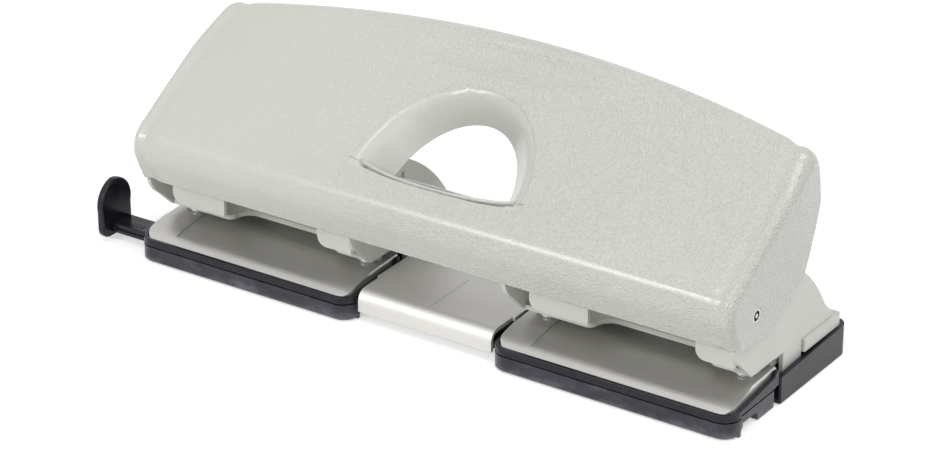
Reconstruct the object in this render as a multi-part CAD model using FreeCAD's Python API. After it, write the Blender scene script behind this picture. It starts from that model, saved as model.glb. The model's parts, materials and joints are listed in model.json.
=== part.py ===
import FreeCAD, Part
import math
import os
from FreeCAD import Vector

# Four-hole desk punch: two two-hole punch units side by side under one long pressed-steel lever.
# Millimetres. +X runs along the lever, +Y towards the back, +Z up. The origin lies on the table,
# midway along the lever and midway through the depth of the base.
# Depths below are measured back from the front edge of the chip trays, heights from the table.

# ---- Layout ----
BASE_DEPTH = 84.0
HOLE_PITCH = 80.0
UNIT_CENTRES = {"left": -HOLE_PITCH, "right": HOLE_PITCH}
UNIT_SIDE_MARGIN = 9.5
UNIT_HALF_WIDTH = HOLE_PITCH / 2 + UNIT_SIDE_MARGIN
PAPER_LENGTH = 297.0
GAP = 0.3
BEYOND = 10.0

# ---- Pivot and punching train ----
PIVOT_DEPTH = 16.1
PIVOT_HEIGHT = 42.2
AXLE_RADIUS = 2.8
AXLE_RUNNING_GAP = 0.05
AXLE_SOCKET_RADIUS = 1.9
AXLE_SOCKET_DEPTH = 3.0
AXLE_PIP_RADIUS = 0.8
PUNCH_DEPTH = 26.5
PUNCH_RADIUS = 2.75
PUNCH_RUNNING_GAP = 0.06
PUNCH_TIP_HEIGHT = 17.9
PUNCH_TIP_HOLLOW = 1.6
PUNCH_TIP_LAND = 0.3
PUNCH_STROKE = 4.74
HEAD_RADIUS = 4.6
HEAD_THICKNESS = 1.6
BAR_RADIUS = 4.2
BAR_HEIGHT = 45.9
BAR_SWAY = 0.6
COLLAR_RADIUS = 4.8
COLLAR_THICKNESS = 1.2
SPRING_WIRE = 0.8
SPRING_TURNS = 5
SPRING_SIDES = 12
SPRING_CLEARANCE = 0.45

# ---- Lever ----
LEVER_END_SETBACK = 0.4
LEVER_HALF_LENGTH = HOLE_PITCH + UNIT_HALF_WIDTH - LEVER_END_SETBACK
LEVER_WALL = 1.4
SLOPE_ANGLE = math.radians(32.8)
SLOPE_DEPTH = 19.2
SLOPE_HEIGHT = 66.1
LIP_DEPTH = 3.0
LIP_HEIGHT = 33.7
LIP_LEAN = math.radians(114.3)
NOSE_RADIUS = 11.0
BROW_RADIUS = 8.0
RIM_RADIUS = 3.6
RIM_CORNER_RADIUS = 7.0
RIM_GROWTH = 30.0
END_CURVE_RADIUS = 220.0
END_CURVE_START = 14.0
BACK_DEPTH_AT_ENDS = 61.9
BACK_ARCH = 14.4
BACK_EDGE_HEIGHT = 72.1
LOWER_EDGE_KNEE = (17.2, 32.0)
LOWER_EDGE_CROWN = (34.0, 35.3)
LOWER_EDGE_BACK = (48.6, 44.0)
BOW_WALL = 75.0
BOW_HALF_TURN = 22.0
LEVER_FORM_DEPTH = 5.9
HAND_HALF_WIDTH = 34.0
HAND_TOP = 31.3
HAND_WAIST = -9.5
HAND_BOTTOM = -12.2
HAND_FLARE = 2.6
HAND_DRAW = 12.0
HAND_DRAW_IN = 9.5
HAND_FLARE_DEPTH = 3.0
HAND_LIP_DROP = 3.4
HAND_LIP_FRONT = -13.0
HAND_LIP_BACK = -5.0
DISH_HALF_LENGTH = 41.0
DISH_HALF_WIDTH = 8.0
DISH_DEPTH = 2.0
DISH_UP_SLOPE = 46.0
GRIP_HALF_WIDTH = 34.0
GRIP_SIDE_RUN = 4.0
GRIP_SINK = 1.7
GRIP_START = -26.0

# ---- Bar hangers inside the lever ----
HANGER_THICKNESS = 1.6
HANGER_OFFSET = 22.0
HANGER_WELD_LOW = 10.0
HANGER_WELD_HIGH = 26.0
HANGER_RING = 1.5
HANGER_BELOW_BAR = 0.8
HANGER_CORNER = 3.0

# ---- Depths from the trays' hinge to the foot and the frames' legs ----
TRAY_HINGE_DEPTH = 30.6
TRAY_HINGE_HEIGHT = 3.4
TRAY_HINGE_COVER = 1.0
TRAY_BACK = TRAY_HINGE_DEPTH + TRAY_HINGE_COVER
TRIM_BEHIND_TRAY = 1.4
TRIM_BACK = TRAY_BACK + TRIM_BEHIND_TRAY
PLATE_BEHIND_TRIM = 1.0
PLATE_BACK = TRIM_BACK + PLATE_BEHIND_TRIM
FOOT_GAP = 0.4
FOOT_FRONT = PLATE_BACK + FOOT_GAP
LEG_INSET = 5.3
LEG_WIDTH = 13.3

# ---- Frames ----
SHEET = 1.8
CHEEK_MARGIN = 7.1
CHEEK_OUTER = HOLE_PITCH / 2 + CHEEK_MARGIN
CHEEK_TOE_BACK = 75.2
CHEEK_TOE_TOP = 18.8
CHEEK_TOE_BEND = (72.6, 21.2)
CHEEK_DOME_FOOT = (69.2, 24.4)
CHEEK_DOME_SIDE = (57.5, 39.3)
CHEEK_DOME_TOP = (38.0, 52.2)
CHEEK_HEAD_TOP = (30.5, 54.4)
CHEEK_HEAD_FRONT = (23.0, 53.0)
CHEEK_BROW = (13.0, 50.6)
CHEEK_BROW_BEND = (8.2, 46.8)
CHEEK_FACE = (7.6, 39.8)
CHEEK_FACE_FOOT = (7.2, 34.8)
CHEEK_CHIN = (4.6, 32.2)
CHEEK_CHIN_BEND = (6.6, 28.2)
CHEEK_THROAT_LIP = (10.2, 24.7)
CHEEK_THROAT_FRONT = 17.6
THROAT_TOP = 17.6
TOP_WEB_TOP = 34.7
TOP_WEB_FRONT = 8.0
TOP_WEB_BACK = 40.0
WEB_CORNER_DEPTH = 14.0
WEB_RELIEF_DEPTH = 20.0
TAB_BOTTOM = 24.1
TAB_OUTER = 37.5
TAB_INNER = 13.0
TAB_CORNER = 4.0
RIGHT_TAB_START = 30.0
CORNER_TAB_BOTTOM = 26.8
CORNER_TAB_TOP = 33.5
LEG_FRONT = FOOT_FRONT + LEG_INSET
LEG_BACK = LEG_FRONT + LEG_WIDTH
CHEEK_SLOT_HEIGHT = 44.5
CHEEK_SLOT_HALF = 1.8

# ---- Guide web and paper stop ----
STOP_DEPTH = 38.3
GUIDE_WEB_BOTTOM = 17.7
GUIDE_WEB_FRONT = 17.6
GUIDE_WEB_RELIEF = 26.0
GUIDE_WEB_TONGUE = 17.0
GUIDE_WEB_CORNER = 3.0

# ---- Base plates and dies ----
PLATE_TOP = 14.6
PLATE_SHEET = 2.0
PLATE_FRONT = 1.9
PLATE_CORNER = 5.0
PLATE_NOSE_LOW = 9.0
PLATE_BROW = (4.4, 11.6)
PLATE_RAMP_END = 17.0
PLATE_EDGE_RADIUS = 0.8
PLATE_PANEL_MARGIN = 5.5
PLATE_PANEL_HALF = HOLE_PITCH / 2 - PLATE_PANEL_MARGIN
PLATE_PANEL_FRONT = 5.4
PLATE_PANEL_SINK = 0.6
DIE_FLANGE_RADIUS = 4.8
DIE_BODY_RADIUS = 4.2
DIE_FLANGE_RISE = 0.8
DIE_LENGTH = 3.4
DIE_BORE_GAP = 0.1

# ---- Black trim rings round the base plates ----
TRIM_WALL = 1.6
TRIM_BOTTOM = 7.0
TRIM_LEDGE = 8.6
TRIM_INSET = 1.0
TRIM_FRONT_TOP = 9.6
TRIM_SLOPE_START = (6.0, 9.9)
TRIM_SLOPE_END = (TRIM_BACK - 8.0, 12.2)
TRIM_POST_FOOT = (TRIM_BACK - 3.2, 12.8)
TRIM_POST_TOP = (TRIM_BACK - 1.6, 14.6)
TRAY_CORNER = 6.6

# ---- Chip trays ----
TRAY_TOP = 6.6
TRAY_WALL = 1.4
TRAY_BOTTOM = 0.3
TRAY_LOW_CHAMFER = 0.9
KNUCKLE_OFFSET = 14.0
LUG_WIDTH = 4.0
LUG_RADIUS = 2.4
HINGE_PIN_RADIUS = 1.0
NOTCH_FRONT = 7.2
NOTCH_BACK = 20.5
NOTCH_TOP = 3.7
NOTCH_REACH = 7.0
NOTCH_CORNER = 2.0

# ---- Foot, rail and tie strip ----
FOOT_WALL = 2.0
FOOT_BOTTOM = 0.4
FOOT_TOP_FRONT = 10.6
FOOT_TOP_BACK = 12.2
FOOT_CORNER = 5.0
RAIL_TOP = 17.0
RAIL_SHEET = 1.6
RAIL_FRONT = LEG_BACK + GAP
RAIL_INSET = 1.3
RAIL_CROWN_FALL = 2.6
RAIL_CROWN_RUN = 3.0
TONGUE_HALF = 24.0
TONGUE_FRONT = 13.0
TONGUE_RIB = 2.0
FOOT_RIB_PLACES = (-40.0, -11.0, 11.0, 40.0)
TIE_END_SETBACK = 0.1
TIE_HALF_LENGTH = HOLE_PITCH + CHEEK_OUTER - TIE_END_SETBACK
TIE_SHEET = 1.8
SCREW_OFFSET = 30.0
SCREW_RADIUS = 2.0
SCREW_HEAD_RADIUS = 3.4
SCREW_HEAD_THICKNESS = 1.1
SCREW_RISE = 0.8

# ---- Rubber pads ----
PAD_THICKNESS = 1.0
MIDDLE_PAD_WIDTH = 20.0
MIDDLE_PAD_LENGTH = 34.0
FRONT_PAD_INSET = 11.5
FRONT_PAD_WIDTH = 14.0
FRONT_PAD_LENGTH = 7.0
BACK_PAD_INSET = 23.5
BACK_PAD_WIDTH = 32.0
BACK_PAD_LENGTH = 14.0

# ---- Middle plate ----
MIDDLE_SHEET = 1.5
MIDDLE_FRONT = 4.2
MIDDLE_LIP_BOTTOM = 4.2
MIDDLE_NOSE_TOP = 12.5
MIDDLE_BACK = 47.0
MIDDLE_TOP = 13.5
MIDDLE_HALF_BACK = HOLE_PITCH - UNIT_HALF_WIDTH - GAP
MIDDLE_STEP_IN = 1.0
MIDDLE_HALF_FRONT = MIDDLE_HALF_BACK - MIDDLE_STEP_IN
MIDDLE_STEP = 18.0
MIDDLE_NOSE_RADIUS = 4.5
MARK_HALF_WIDTH = 0.4
MARK_FRONT = 9.0
MARK_BACK = 34.0
MARK_DEPTH = 0.35

# ---- Side guide ----
GUIDE_STOP_X = -PAPER_LENGTH / 2
GUIDE_BAR_FRONT = 8.0
GUIDE_BAR_WIDTH = 10.0
GUIDE_BAR_BOTTOM = 3.3
GUIDE_BAR_HEIGHT = 4.0
GUIDE_BAR_LENGTH = 64.5
GUIDE_BAR_INNER_END = GUIDE_STOP_X + GUIDE_BAR_LENGTH
GUIDE_GROOVE = 0.8
STOP_THICKNESS = 3.0
STOP_HEIGHT = 24.5
STOP_FRONT = 3.0
STOP_BACK = 20.0
STOP_BOTTOM = 1.5
STOP_SHOULDER = 12.5
CHANNEL_WALL = 1.4
CHANNEL_FLOOR = 1.0
CHANNEL_GAP = 0.2
CHANNEL_FOOT = 5.0


def at(x, depth, height):
    return Vector(x, depth - BASE_DEPTH / 2, height)


def box(x0, x1, depth0, depth1, height0, height1):
    return Part.makeBox(x1 - x0, depth1 - depth0, height1 - height0, at(x0, depth0, height0))


def rod_x(depth, height, radius, x0, x1):
    return Part.makeCylinder(radius, x1 - x0, at(x0, depth, height), Vector(1, 0, 0))


def rod_y(x, height, radius, depth0, depth1):
    return Part.makeCylinder(radius, depth1 - depth0, at(x, depth0, height), Vector(0, 1, 0))


def rod_z(x, depth, radius, height0, height1):
    return Part.makeCylinder(radius, height1 - height0, at(x, depth, height0))


def rounded_wire(points, radii):
    """Closed wire with each corner rounded by its own radius; 0 keeps a corner sharp."""
    count = len(points)
    firsts = []
    lasts = []
    arcs = []
    for index, corner in enumerate(points):
        radius = radii[index]
        before = (points[index - 1] - corner).normalize()
        after = (points[(index + 1) % count] - corner).normalize()
        if radius == 0:
            firsts.append(corner)
            lasts.append(corner)
            arcs.append(None)
            continue
        half = before.getAngle(after) / 2
        reach = radius / math.tan(half)
        inward = (before + after).normalize()
        middle = corner + inward * (radius / math.sin(half) - radius)
        firsts.append(corner + before * reach)
        lasts.append(corner + after * reach)
        arcs.append(Part.Arc(firsts[-1], middle, lasts[-1]).toShape())
    edges = []
    for index in range(count):
        if arcs[index]:
            edges.append(arcs[index])
        following = firsts[(index + 1) % count]
        if lasts[index].distanceToPoint(following) > 1e-6:
            edges.append(Part.makeLine(lasts[index], following))
    return Part.Wire(edges)


def side_prism(pairs, x0, x1, radii=None):
    """Depth and height outline carried along X."""
    points = [at(x0, depth, height) for depth, height in pairs]
    wire = rounded_wire(points, radii or [0] * len(points))
    return Part.Face(wire).extrude(Vector(x1 - x0, 0, 0))


def plan_prism(pairs, height0, height1, radii=None):
    """X and depth outline carried upwards."""
    points = [at(x, depth, height0) for x, depth in pairs]
    wire = rounded_wire(points, radii or [0] * len(points))
    return Part.Face(wire).extrude(Vector(0, 0, height1 - height0))


def front_prism(pairs, depth0, depth1, radii=None):
    """X and height outline carried backwards."""
    points = [at(x, depth0, height) for x, height in pairs]
    wire = rounded_wire(points, radii or [0] * len(points))
    return Part.Face(wire).extrude(Vector(0, depth1 - depth0, 0))


def path_prism(start, steps, x0, x1):
    """Outline of lines and three-point arcs in depth and height, carried along X."""
    edges = []
    here = at(x0, *start)
    for step in steps:
        if len(step) == 2:
            target = at(x0, *step)
            edges.append(Part.makeLine(here, target))
        else:
            target = at(x0, step[2], step[3])
            edges.append(Part.Arc(here, at(x0, step[0], step[1]), target).toShape())
        here = target
    return Part.Face(Part.Wire(edges)).extrude(Vector(x1 - x0, 0, 0))


def edges_where(shape, test):
    return [edge for edge in shape.Edges if test(edge)]


def meeting_point(point_a, angle_a, point_b, angle_b):
    """Where two lines in the depth and height plane cross."""
    ax, ay = math.cos(angle_a), math.sin(angle_a)
    bx, by = math.cos(angle_b), math.sin(angle_b)
    cross = ax * by - ay * bx
    along = ((point_b[0] - point_a[0]) * by - (point_b[1] - point_a[1]) * bx) / cross
    return (point_a[0] + along * ax, point_a[1] + along * ay)


def bow_form(inset):
    """Bowed top and back of the lever, turned about an axis square to the front slope."""
    slope_bow = BACK_ARCH / math.cos(SLOPE_ANGLE)
    radius = (LEVER_HALF_LENGTH ** 2 + slope_bow ** 2) / (2 * slope_bow)
    peak = (BACK_DEPTH_AT_ENDS + BACK_ARCH - SLOPE_DEPTH) / math.cos(SLOPE_ANGLE)
    turn = math.pi / 2 + SLOPE_ANGLE
    brow = BROW_RADIUS - inset
    setback = BROW_RADIUS / math.tan((math.pi - turn) / 2)
    lean = Vector(-math.sin(SLOPE_ANGLE), 0, -math.cos(SLOPE_ANGLE))
    middle = Vector(radius - setback, 0, -BROW_RADIUS)
    crest = middle + Vector(0, 0, brow)
    shoulder = middle + Vector(math.sin(turn / 2), 0, math.cos(turn / 2)) * brow
    foot = middle + Vector(math.sin(turn), 0, math.cos(turn)) * brow
    low = foot + lean * BOW_WALL
    edges = [
        Part.makeLine(Vector(0, 0, -inset), crest),
        Part.Arc(crest, shoulder, foot).toShape(),
        Part.makeLine(foot, low),
        Part.makeLine(low, Vector(0, 0, low.z)),
        Part.makeLine(Vector(0, 0, low.z), Vector(0, 0, -inset)),
    ]
    form = Part.Face(Part.Wire(edges)).revolve(Vector(0, 0, 0), Vector(0, 0, 1), 2 * BOW_HALF_TURN)
    form.rotate(Vector(0, 0, 0), Vector(0, 0, 1), 90 - BOW_HALF_TURN)
    form.rotate(Vector(0, 0, 0), Vector(1, 0, 0), math.degrees(SLOPE_ANGLE))
    form.translate(slope_point(0, peak - radius, 0))
    return form


def end_form(inset):
    """Outline of the lever seen square to its front slope, its ends drawn in towards the top."""
    half = LEVER_HALF_LENGTH - inset
    radius = END_CURVE_RADIUS - inset
    low = GRIP_START - LEVER_HALF_LENGTH / 2
    high = END_CURVE_START + BACK_DEPTH_AT_ENDS + BACK_ARCH
    turn = math.asin((high - END_CURVE_START) / radius)
    rows = [
        (half, low),
        (half, END_CURVE_START),
        (half - radius * (1 - math.cos(turn / 2)), END_CURVE_START + radius * math.sin(turn / 2)),
        (half - radius * (1 - math.cos(turn)), high),
    ]
    right = [slope_point(x, up_slope, -BEYOND) for x, up_slope in rows]
    left = [slope_point(-x, up_slope, -BEYOND) for x, up_slope in rows]
    edges = [
        Part.makeLine(right[0], right[1]),
        Part.Arc(right[1], right[2], right[3]).toShape(),
        Part.makeLine(right[3], left[3]),
        Part.Arc(left[3], left[2], left[1]).toShape(),
        Part.makeLine(left[1], left[0]),
        Part.makeLine(left[0], right[0]),
    ]
    through = slope_point(0, 0, SLOPE_HEIGHT + BOW_WALL) - slope_point(0, 0, 0)
    return Part.Face(Part.Wire(edges)).extrude(through)


def up_slope_of(point):
    """Distance of a point up the front slope."""
    from_origin = point - slope_point(0, 0, 0)
    return from_origin.y * math.cos(SLOPE_ANGLE) + from_origin.z * math.sin(SLOPE_ANGLE)


def is_end_face(face, inset):
    surface = face.Surface
    if surface.TypeId == "Part::GeomCylinder":
        return abs(surface.Radius - END_CURVE_RADIUS + inset) < 0.01
    return surface.TypeId == "Part::GeomPlane" and abs(surface.Axis.x) > 0.999


def rim_radius(point, inset):
    """Rim radius at a point: small round the nose, growing up the slope to the brow."""
    share = (up_slope_of(point) - END_CURVE_START) / RIM_GROWTH
    share = min(1, max(0, share)) if point.z > SLOPE_HEIGHT else 0
    return RIM_RADIUS + (RIM_CORNER_RADIUS - RIM_RADIUS) * share - inset


def round_rims(form, inset, below):
    """Rounds the edge all round each end of the lever with its growing radius."""
    radii = []
    for number, edge in enumerate(form.Edges, 1):
        sides = [is_end_face(face, inset) for face in form.ancestorsOfType(edge, Part.Face)]
        if sides.count(True) == 1 and edge.BoundBox.ZMax > below + 0.1:
            ends = [edge.valueAt(edge.FirstParameter), edge.valueAt(edge.LastParameter)]
            if edge.Orientation == "Reversed":
                ends.reverse()
            radii.append((number, rim_radius(ends[0], inset), rim_radius(ends[1], inset)))
    document = FreeCAD.newDocument("rims")
    sharp = document.addObject("Part::Feature", "sharp")
    sharp.Shape = form
    rounded = document.addObject("Part::Fillet", "rounded")
    rounded.Base = sharp
    rounded.Edges = radii
    document.recompute()
    result = rounded.Shape.copy()
    FreeCAD.closeDocument(document.Name)
    return result


def lever_form(inset):
    """Solid form of the lever: rounded nose and slope, bowed top and back, a rounded rim at each end."""
    wide = LEVER_HALF_LENGTH + 1
    below = LIP_HEIGHT - LEVER_FORM_DEPTH
    lip = (LIP_DEPTH + inset * math.sin(LIP_LEAN), LIP_HEIGHT - inset * math.cos(LIP_LEAN))
    slope = (SLOPE_DEPTH + inset * math.sin(SLOPE_ANGLE), SLOPE_HEIGHT - inset * math.cos(SLOPE_ANGLE))
    far_back = BACK_DEPTH_AT_ENDS + BACK_ARCH + 1
    pairs = [
        meeting_point(lip, LIP_LEAN, (0, below), 0),
        meeting_point(lip, LIP_LEAN, slope, SLOPE_ANGLE),
        meeting_point(slope, SLOPE_ANGLE, (far_back, 0), math.pi / 2),
        (far_back, below),
    ]
    form = side_prism(pairs, -wide, wide, [0, NOSE_RADIUS - inset, 0, 0])
    form = form.common(bow_form(inset)).common(end_form(inset)).removeSplitter()
    return round_rims(form.Solids[0], inset, below)


def slope_point(x, up_slope, drop):
    """Point given by its distance up the front slope and its drop below the surface."""
    depth = SLOPE_DEPTH + up_slope * math.cos(SLOPE_ANGLE) + drop * math.sin(SLOPE_ANGLE)
    height = SLOPE_HEIGHT + up_slope * math.sin(SLOPE_ANGLE) - drop * math.cos(SLOPE_ANGLE)
    return at(x, depth, height)


def half_ellipse(half_width, rise, drop):
    """Half ellipse on the front slope, standing on the waist of the hand opening."""
    waist = slope_point(0, HAND_WAIST, drop)
    across = Vector(half_width, 0, 0)
    along = slope_point(0, HAND_WAIST + rise, drop) - waist
    ends = [waist + across, waist - across]
    if abs(rise) > half_width:
        ellipse = Part.Ellipse(waist + along, ends[0], waist)
    else:
        ellipse = Part.Ellipse(ends[0], waist + along, waist)
    start, finish = [ellipse.parameter(end) for end in ends]
    middle = ellipse.parameter(waist + along)
    if not start < middle < (finish if finish > start else finish + 2 * math.pi):
        start, finish = finish, start
    if finish < start:
        finish += 2 * math.pi
    return Part.ArcOfEllipse(ellipse, start, finish).toShape()


def hand_outline(drop, margin):
    """Hand opening at one drop: a tall half ellipse above the waist and a flat one below it."""
    draw = max(drop, 0) / HAND_DRAW
    half_width = HAND_HALF_WIDTH + margin - HAND_DRAW_IN * draw
    rise = HAND_TOP - HAND_WAIST + margin - 0.7 * HAND_DRAW_IN * draw
    sag = HAND_WAIST - HAND_BOTTOM + margin - 0.1 * HAND_DRAW_IN * draw
    return Part.Wire([half_ellipse(half_width, rise, drop), half_ellipse(half_width, -sag, drop)])


def hand_funnel(drops, margin):
    """Flared, drawn-in funnel between the given drops below the front slope."""
    wires = []
    for drop in drops:
        flare = HAND_FLARE * max(0, 1 - max(drop, 0) / HAND_FLARE_DEPTH) ** 2
        wires.append(hand_outline(drop, margin + flare))
    return Part.makeLoft(wires, True, True)


def palm_dish(margin):
    """Ring whose outer side presses a long shallow dish into the top of the slope."""
    bow = (DISH_HALF_LENGTH ** 2 + DISH_DEPTH ** 2) / (2 * DISH_DEPTH)
    cross = (DISH_HALF_WIDTH ** 2 + DISH_DEPTH ** 2) / (2 * DISH_DEPTH)
    up_slope = Vector(0, math.cos(SLOPE_ANGLE), math.sin(SLOPE_ANGLE))
    centre = slope_point(0, DISH_UP_SLOPE, DISH_DEPTH - bow)
    return Part.makeTorus(bow - cross, cross + margin, centre, up_slope)


def slope_prism(pairs, half_width):
    """Outline given up the slope and below it, carried along X about the middle."""
    points = [slope_point(-half_width, up_slope, drop) for up_slope, drop in pairs]
    return Part.Face(rounded_wire(points, [0] * len(points))).extrude(Vector(2 * half_width, 0, 0))


def grip_wedge(margin):
    """Shallow hollow between the hand opening and the nose."""
    drop = GRIP_SINK + margin
    end = HAND_WAIST + 1
    pairs = [(GRIP_START, margin), (end, drop), (end, -BEYOND), (GRIP_START, -BEYOND)]
    wedge = slope_prism(pairs, GRIP_HALF_WIDTH + GRIP_SIDE_RUN + BEYOND)
    side = math.atan2(GRIP_SINK, GRIP_SIDE_RUN)
    low = GRIP_HALF_WIDTH + margin * math.tan(side / 2)
    high = low + GRIP_SIDE_RUN
    section = [(-high, margin), (-low, drop), (low, drop), (high, margin), (high, -BEYOND), (-high, -BEYOND)]
    wire = rounded_wire([slope_point(x, GRIP_START - 1, fall) for x, fall in section], [0] * len(section))
    along = slope_point(0, end + 1, 0) - slope_point(0, GRIP_START - 1, 0)
    return wedge.common(Part.Face(wire).extrude(along))


def below_hand_lip():
    """Space under the front of the hand opening, where the drawn lip stays short."""
    deep = HAND_DRAW + BEYOND
    pairs = [
        (GRIP_START, HAND_LIP_DROP),
        (HAND_LIP_FRONT, HAND_LIP_DROP),
        (HAND_LIP_BACK, HAND_DRAW + 1),
        (HAND_LIP_BACK, deep),
        (GRIP_START, deep),
    ]
    return slope_prism(pairs, HAND_HALF_WIDTH + BEYOND)


def lever_open_edge():
    """Region kept by the lever's lower and back edges at its end caps."""
    far = LEVER_HALF_LENGTH + BEYOND
    back = BASE_DEPTH + BEYOND
    above = BACK_EDGE_HEIGHT + BOW_WALL
    steps = [
        (LIP_DEPTH, LIP_HEIGHT),
        LOWER_EDGE_KNEE,
        LOWER_EDGE_CROWN + LOWER_EDGE_BACK,
        (BACK_DEPTH_AT_ENDS + 0.9, BACK_EDGE_HEIGHT),
        (back, BACK_EDGE_HEIGHT),
        (back, above),
        (-BEYOND, above),
        (-BEYOND, LIP_HEIGHT),
    ]
    return path_prism((-BEYOND, LIP_HEIGHT), steps, -far, far)


def make_lever():
    outer = lever_form(0)
    outer = outer.cut(palm_dish(0)).cut(grip_wedge(0))
    inner = lever_form(LEVER_WALL)
    inner = inner.cut(palm_dish(LEVER_WALL)).cut(grip_wedge(LEVER_WALL))
    shell = outer.cut(inner).common(lever_open_edge())
    collar = hand_funnel([1.0, HAND_FLARE_DEPTH, HAND_DRAW], LEVER_WALL)
    collar = collar.cut(below_hand_lip()).cut(grip_wedge(0))
    shell = shell.fuse(collar)
    shell = shell.cut(hand_funnel([-2.5, 0, 1.2, HAND_FLARE_DEPTH, HAND_DRAW + 2], 0))
    hole_radius = AXLE_RADIUS + AXLE_RUNNING_GAP
    far = LEVER_HALF_LENGTH + BEYOND
    return shell.cut(rod_x(PIVOT_DEPTH, PIVOT_HEIGHT, hole_radius, -far, far))


def make_presser_bar():
    reach = LEVER_HALF_LENGTH - LEVER_WALL - GAP
    return rod_x(PUNCH_DEPTH, BAR_HEIGHT, BAR_RADIUS, -reach, reach)


def make_bar_hangers():
    """Plates welded under the slope that carry the presser bar."""
    hangers = []
    for centre in UNIT_CENTRES.values():
        for side in (-1, 1):
            x = centre + side * HANGER_OFFSET
            low = slope_point(x, HANGER_WELD_LOW, LEVER_WALL)
            high = slope_point(x, HANGER_WELD_HIGH, LEVER_WALL)
            eye = at(x, PUNCH_DEPTH, BAR_HEIGHT)
            ring = BAR_RADIUS + HANGER_RING
            under = BAR_RADIUS + HANGER_BELOW_BAR
            points = [
                low,
                high,
                eye + Vector(0, ring, HANGER_CORNER),
                eye + Vector(0, ring, -under),
                eye + Vector(0, -ring, -under),
                eye + Vector(0, -ring, HANGER_CORNER),
            ]
            wire = rounded_wire(points, [0, 0] + [HANGER_CORNER] * 4)
            plate = Part.Face(wire).extrude(Vector(HANGER_THICKNESS, 0, 0))
            hole = rod_x(PUNCH_DEPTH, BAR_HEIGHT, BAR_RADIUS, x - 1, x + HANGER_THICKNESS + 1)
            hangers.append(plate.cut(hole))
    return Part.makeCompound(hangers)


# ---- Axle ----

def make_axle():
    """Axle through both end caps and all four cheeks, with a socket and a pip in each end."""
    end = LEVER_HALF_LENGTH - 0.1
    axle = rod_x(PIVOT_DEPTH, PIVOT_HEIGHT, AXLE_RADIUS, -end, end)
    for side in (-1, 1):
        x0, x1 = sorted((side * end, side * (end - AXLE_SOCKET_DEPTH)))
        axle = axle.cut(rod_x(PIVOT_DEPTH, PIVOT_HEIGHT, AXLE_SOCKET_RADIUS, x0, x1))
        axle = axle.fuse(rod_x(PIVOT_DEPTH, PIVOT_HEIGHT, AXLE_PIP_RADIUS, x0, x1))
    return axle


def make_axle_spacer():
    """Tube on the axle that keeps the two units apart."""
    reach = UNIT_CENTRES["right"] - CHEEK_OUTER
    tube = rod_x(PIVOT_DEPTH, PIVOT_HEIGHT, AXLE_RADIUS + 1.2, -reach, reach)
    return tube.cut(rod_x(PIVOT_DEPTH, PIVOT_HEIGHT, AXLE_RADIUS + AXLE_RUNNING_GAP, -reach - 1, reach + 1))


# ---- Frames ----

def bar_slot(x0, x1):
    """Upright slot that clears the presser bar over its whole travel."""
    radius = BAR_RADIUS + 2 * GAP
    front = PUNCH_DEPTH - radius
    back = PUNCH_DEPTH + BAR_SWAY + radius
    low = BAR_HEIGHT - PUNCH_STROKE - radius - GAP
    high = BAR_HEIGHT + radius
    pairs = [(front, low), (back, low), (back, high), (front, high)]
    return side_prism(pairs, x0, x1, [radius - 0.2] * 4)


def cheek(x0, x1):
    """Side cheek: throat, leg into the foot, toe on the rail, domed back and rounded pivot end."""
    steps = [
        (LEG_FRONT, THROAT_TOP),
        (LEG_FRONT, FOOT_BOTTOM + FOOT_WALL + TIE_SHEET),
        (LEG_BACK, FOOT_BOTTOM + FOOT_WALL + TIE_SHEET),
        (LEG_BACK, RAIL_TOP),
        (CHEEK_TOE_BACK, RAIL_TOP),
        (CHEEK_TOE_BACK, CHEEK_TOE_TOP),
        CHEEK_TOE_BEND,
        CHEEK_DOME_FOOT,
        CHEEK_DOME_SIDE + CHEEK_DOME_TOP,
        CHEEK_HEAD_TOP + CHEEK_HEAD_FRONT,
        CHEEK_BROW,
        CHEEK_BROW_BEND + CHEEK_FACE,
        CHEEK_FACE_FOOT,
        CHEEK_CHIN,
        CHEEK_CHIN_BEND + CHEEK_THROAT_LIP,
        (CHEEK_THROAT_FRONT, THROAT_TOP),
    ]
    plate = path_prism((CHEEK_THROAT_FRONT, THROAT_TOP), steps, x0, x1)
    plate = plate.cut(rod_x(PIVOT_DEPTH, PIVOT_HEIGHT, AXLE_RADIUS + AXLE_RUNNING_GAP, x0 - 1, x1 + 1))
    slot_low = CHEEK_SLOT_HEIGHT - CHEEK_SLOT_HALF
    slot_high = CHEEK_SLOT_HEIGHT + CHEEK_SLOT_HALF
    slot = box(x0 - 1, x1 + 1, STOP_DEPTH - 0.6, STOP_DEPTH + 1.2, slot_low, slot_high)
    return plate.cut(slot).cut(bar_slot(x0 - 1, x1 + 1))


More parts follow.
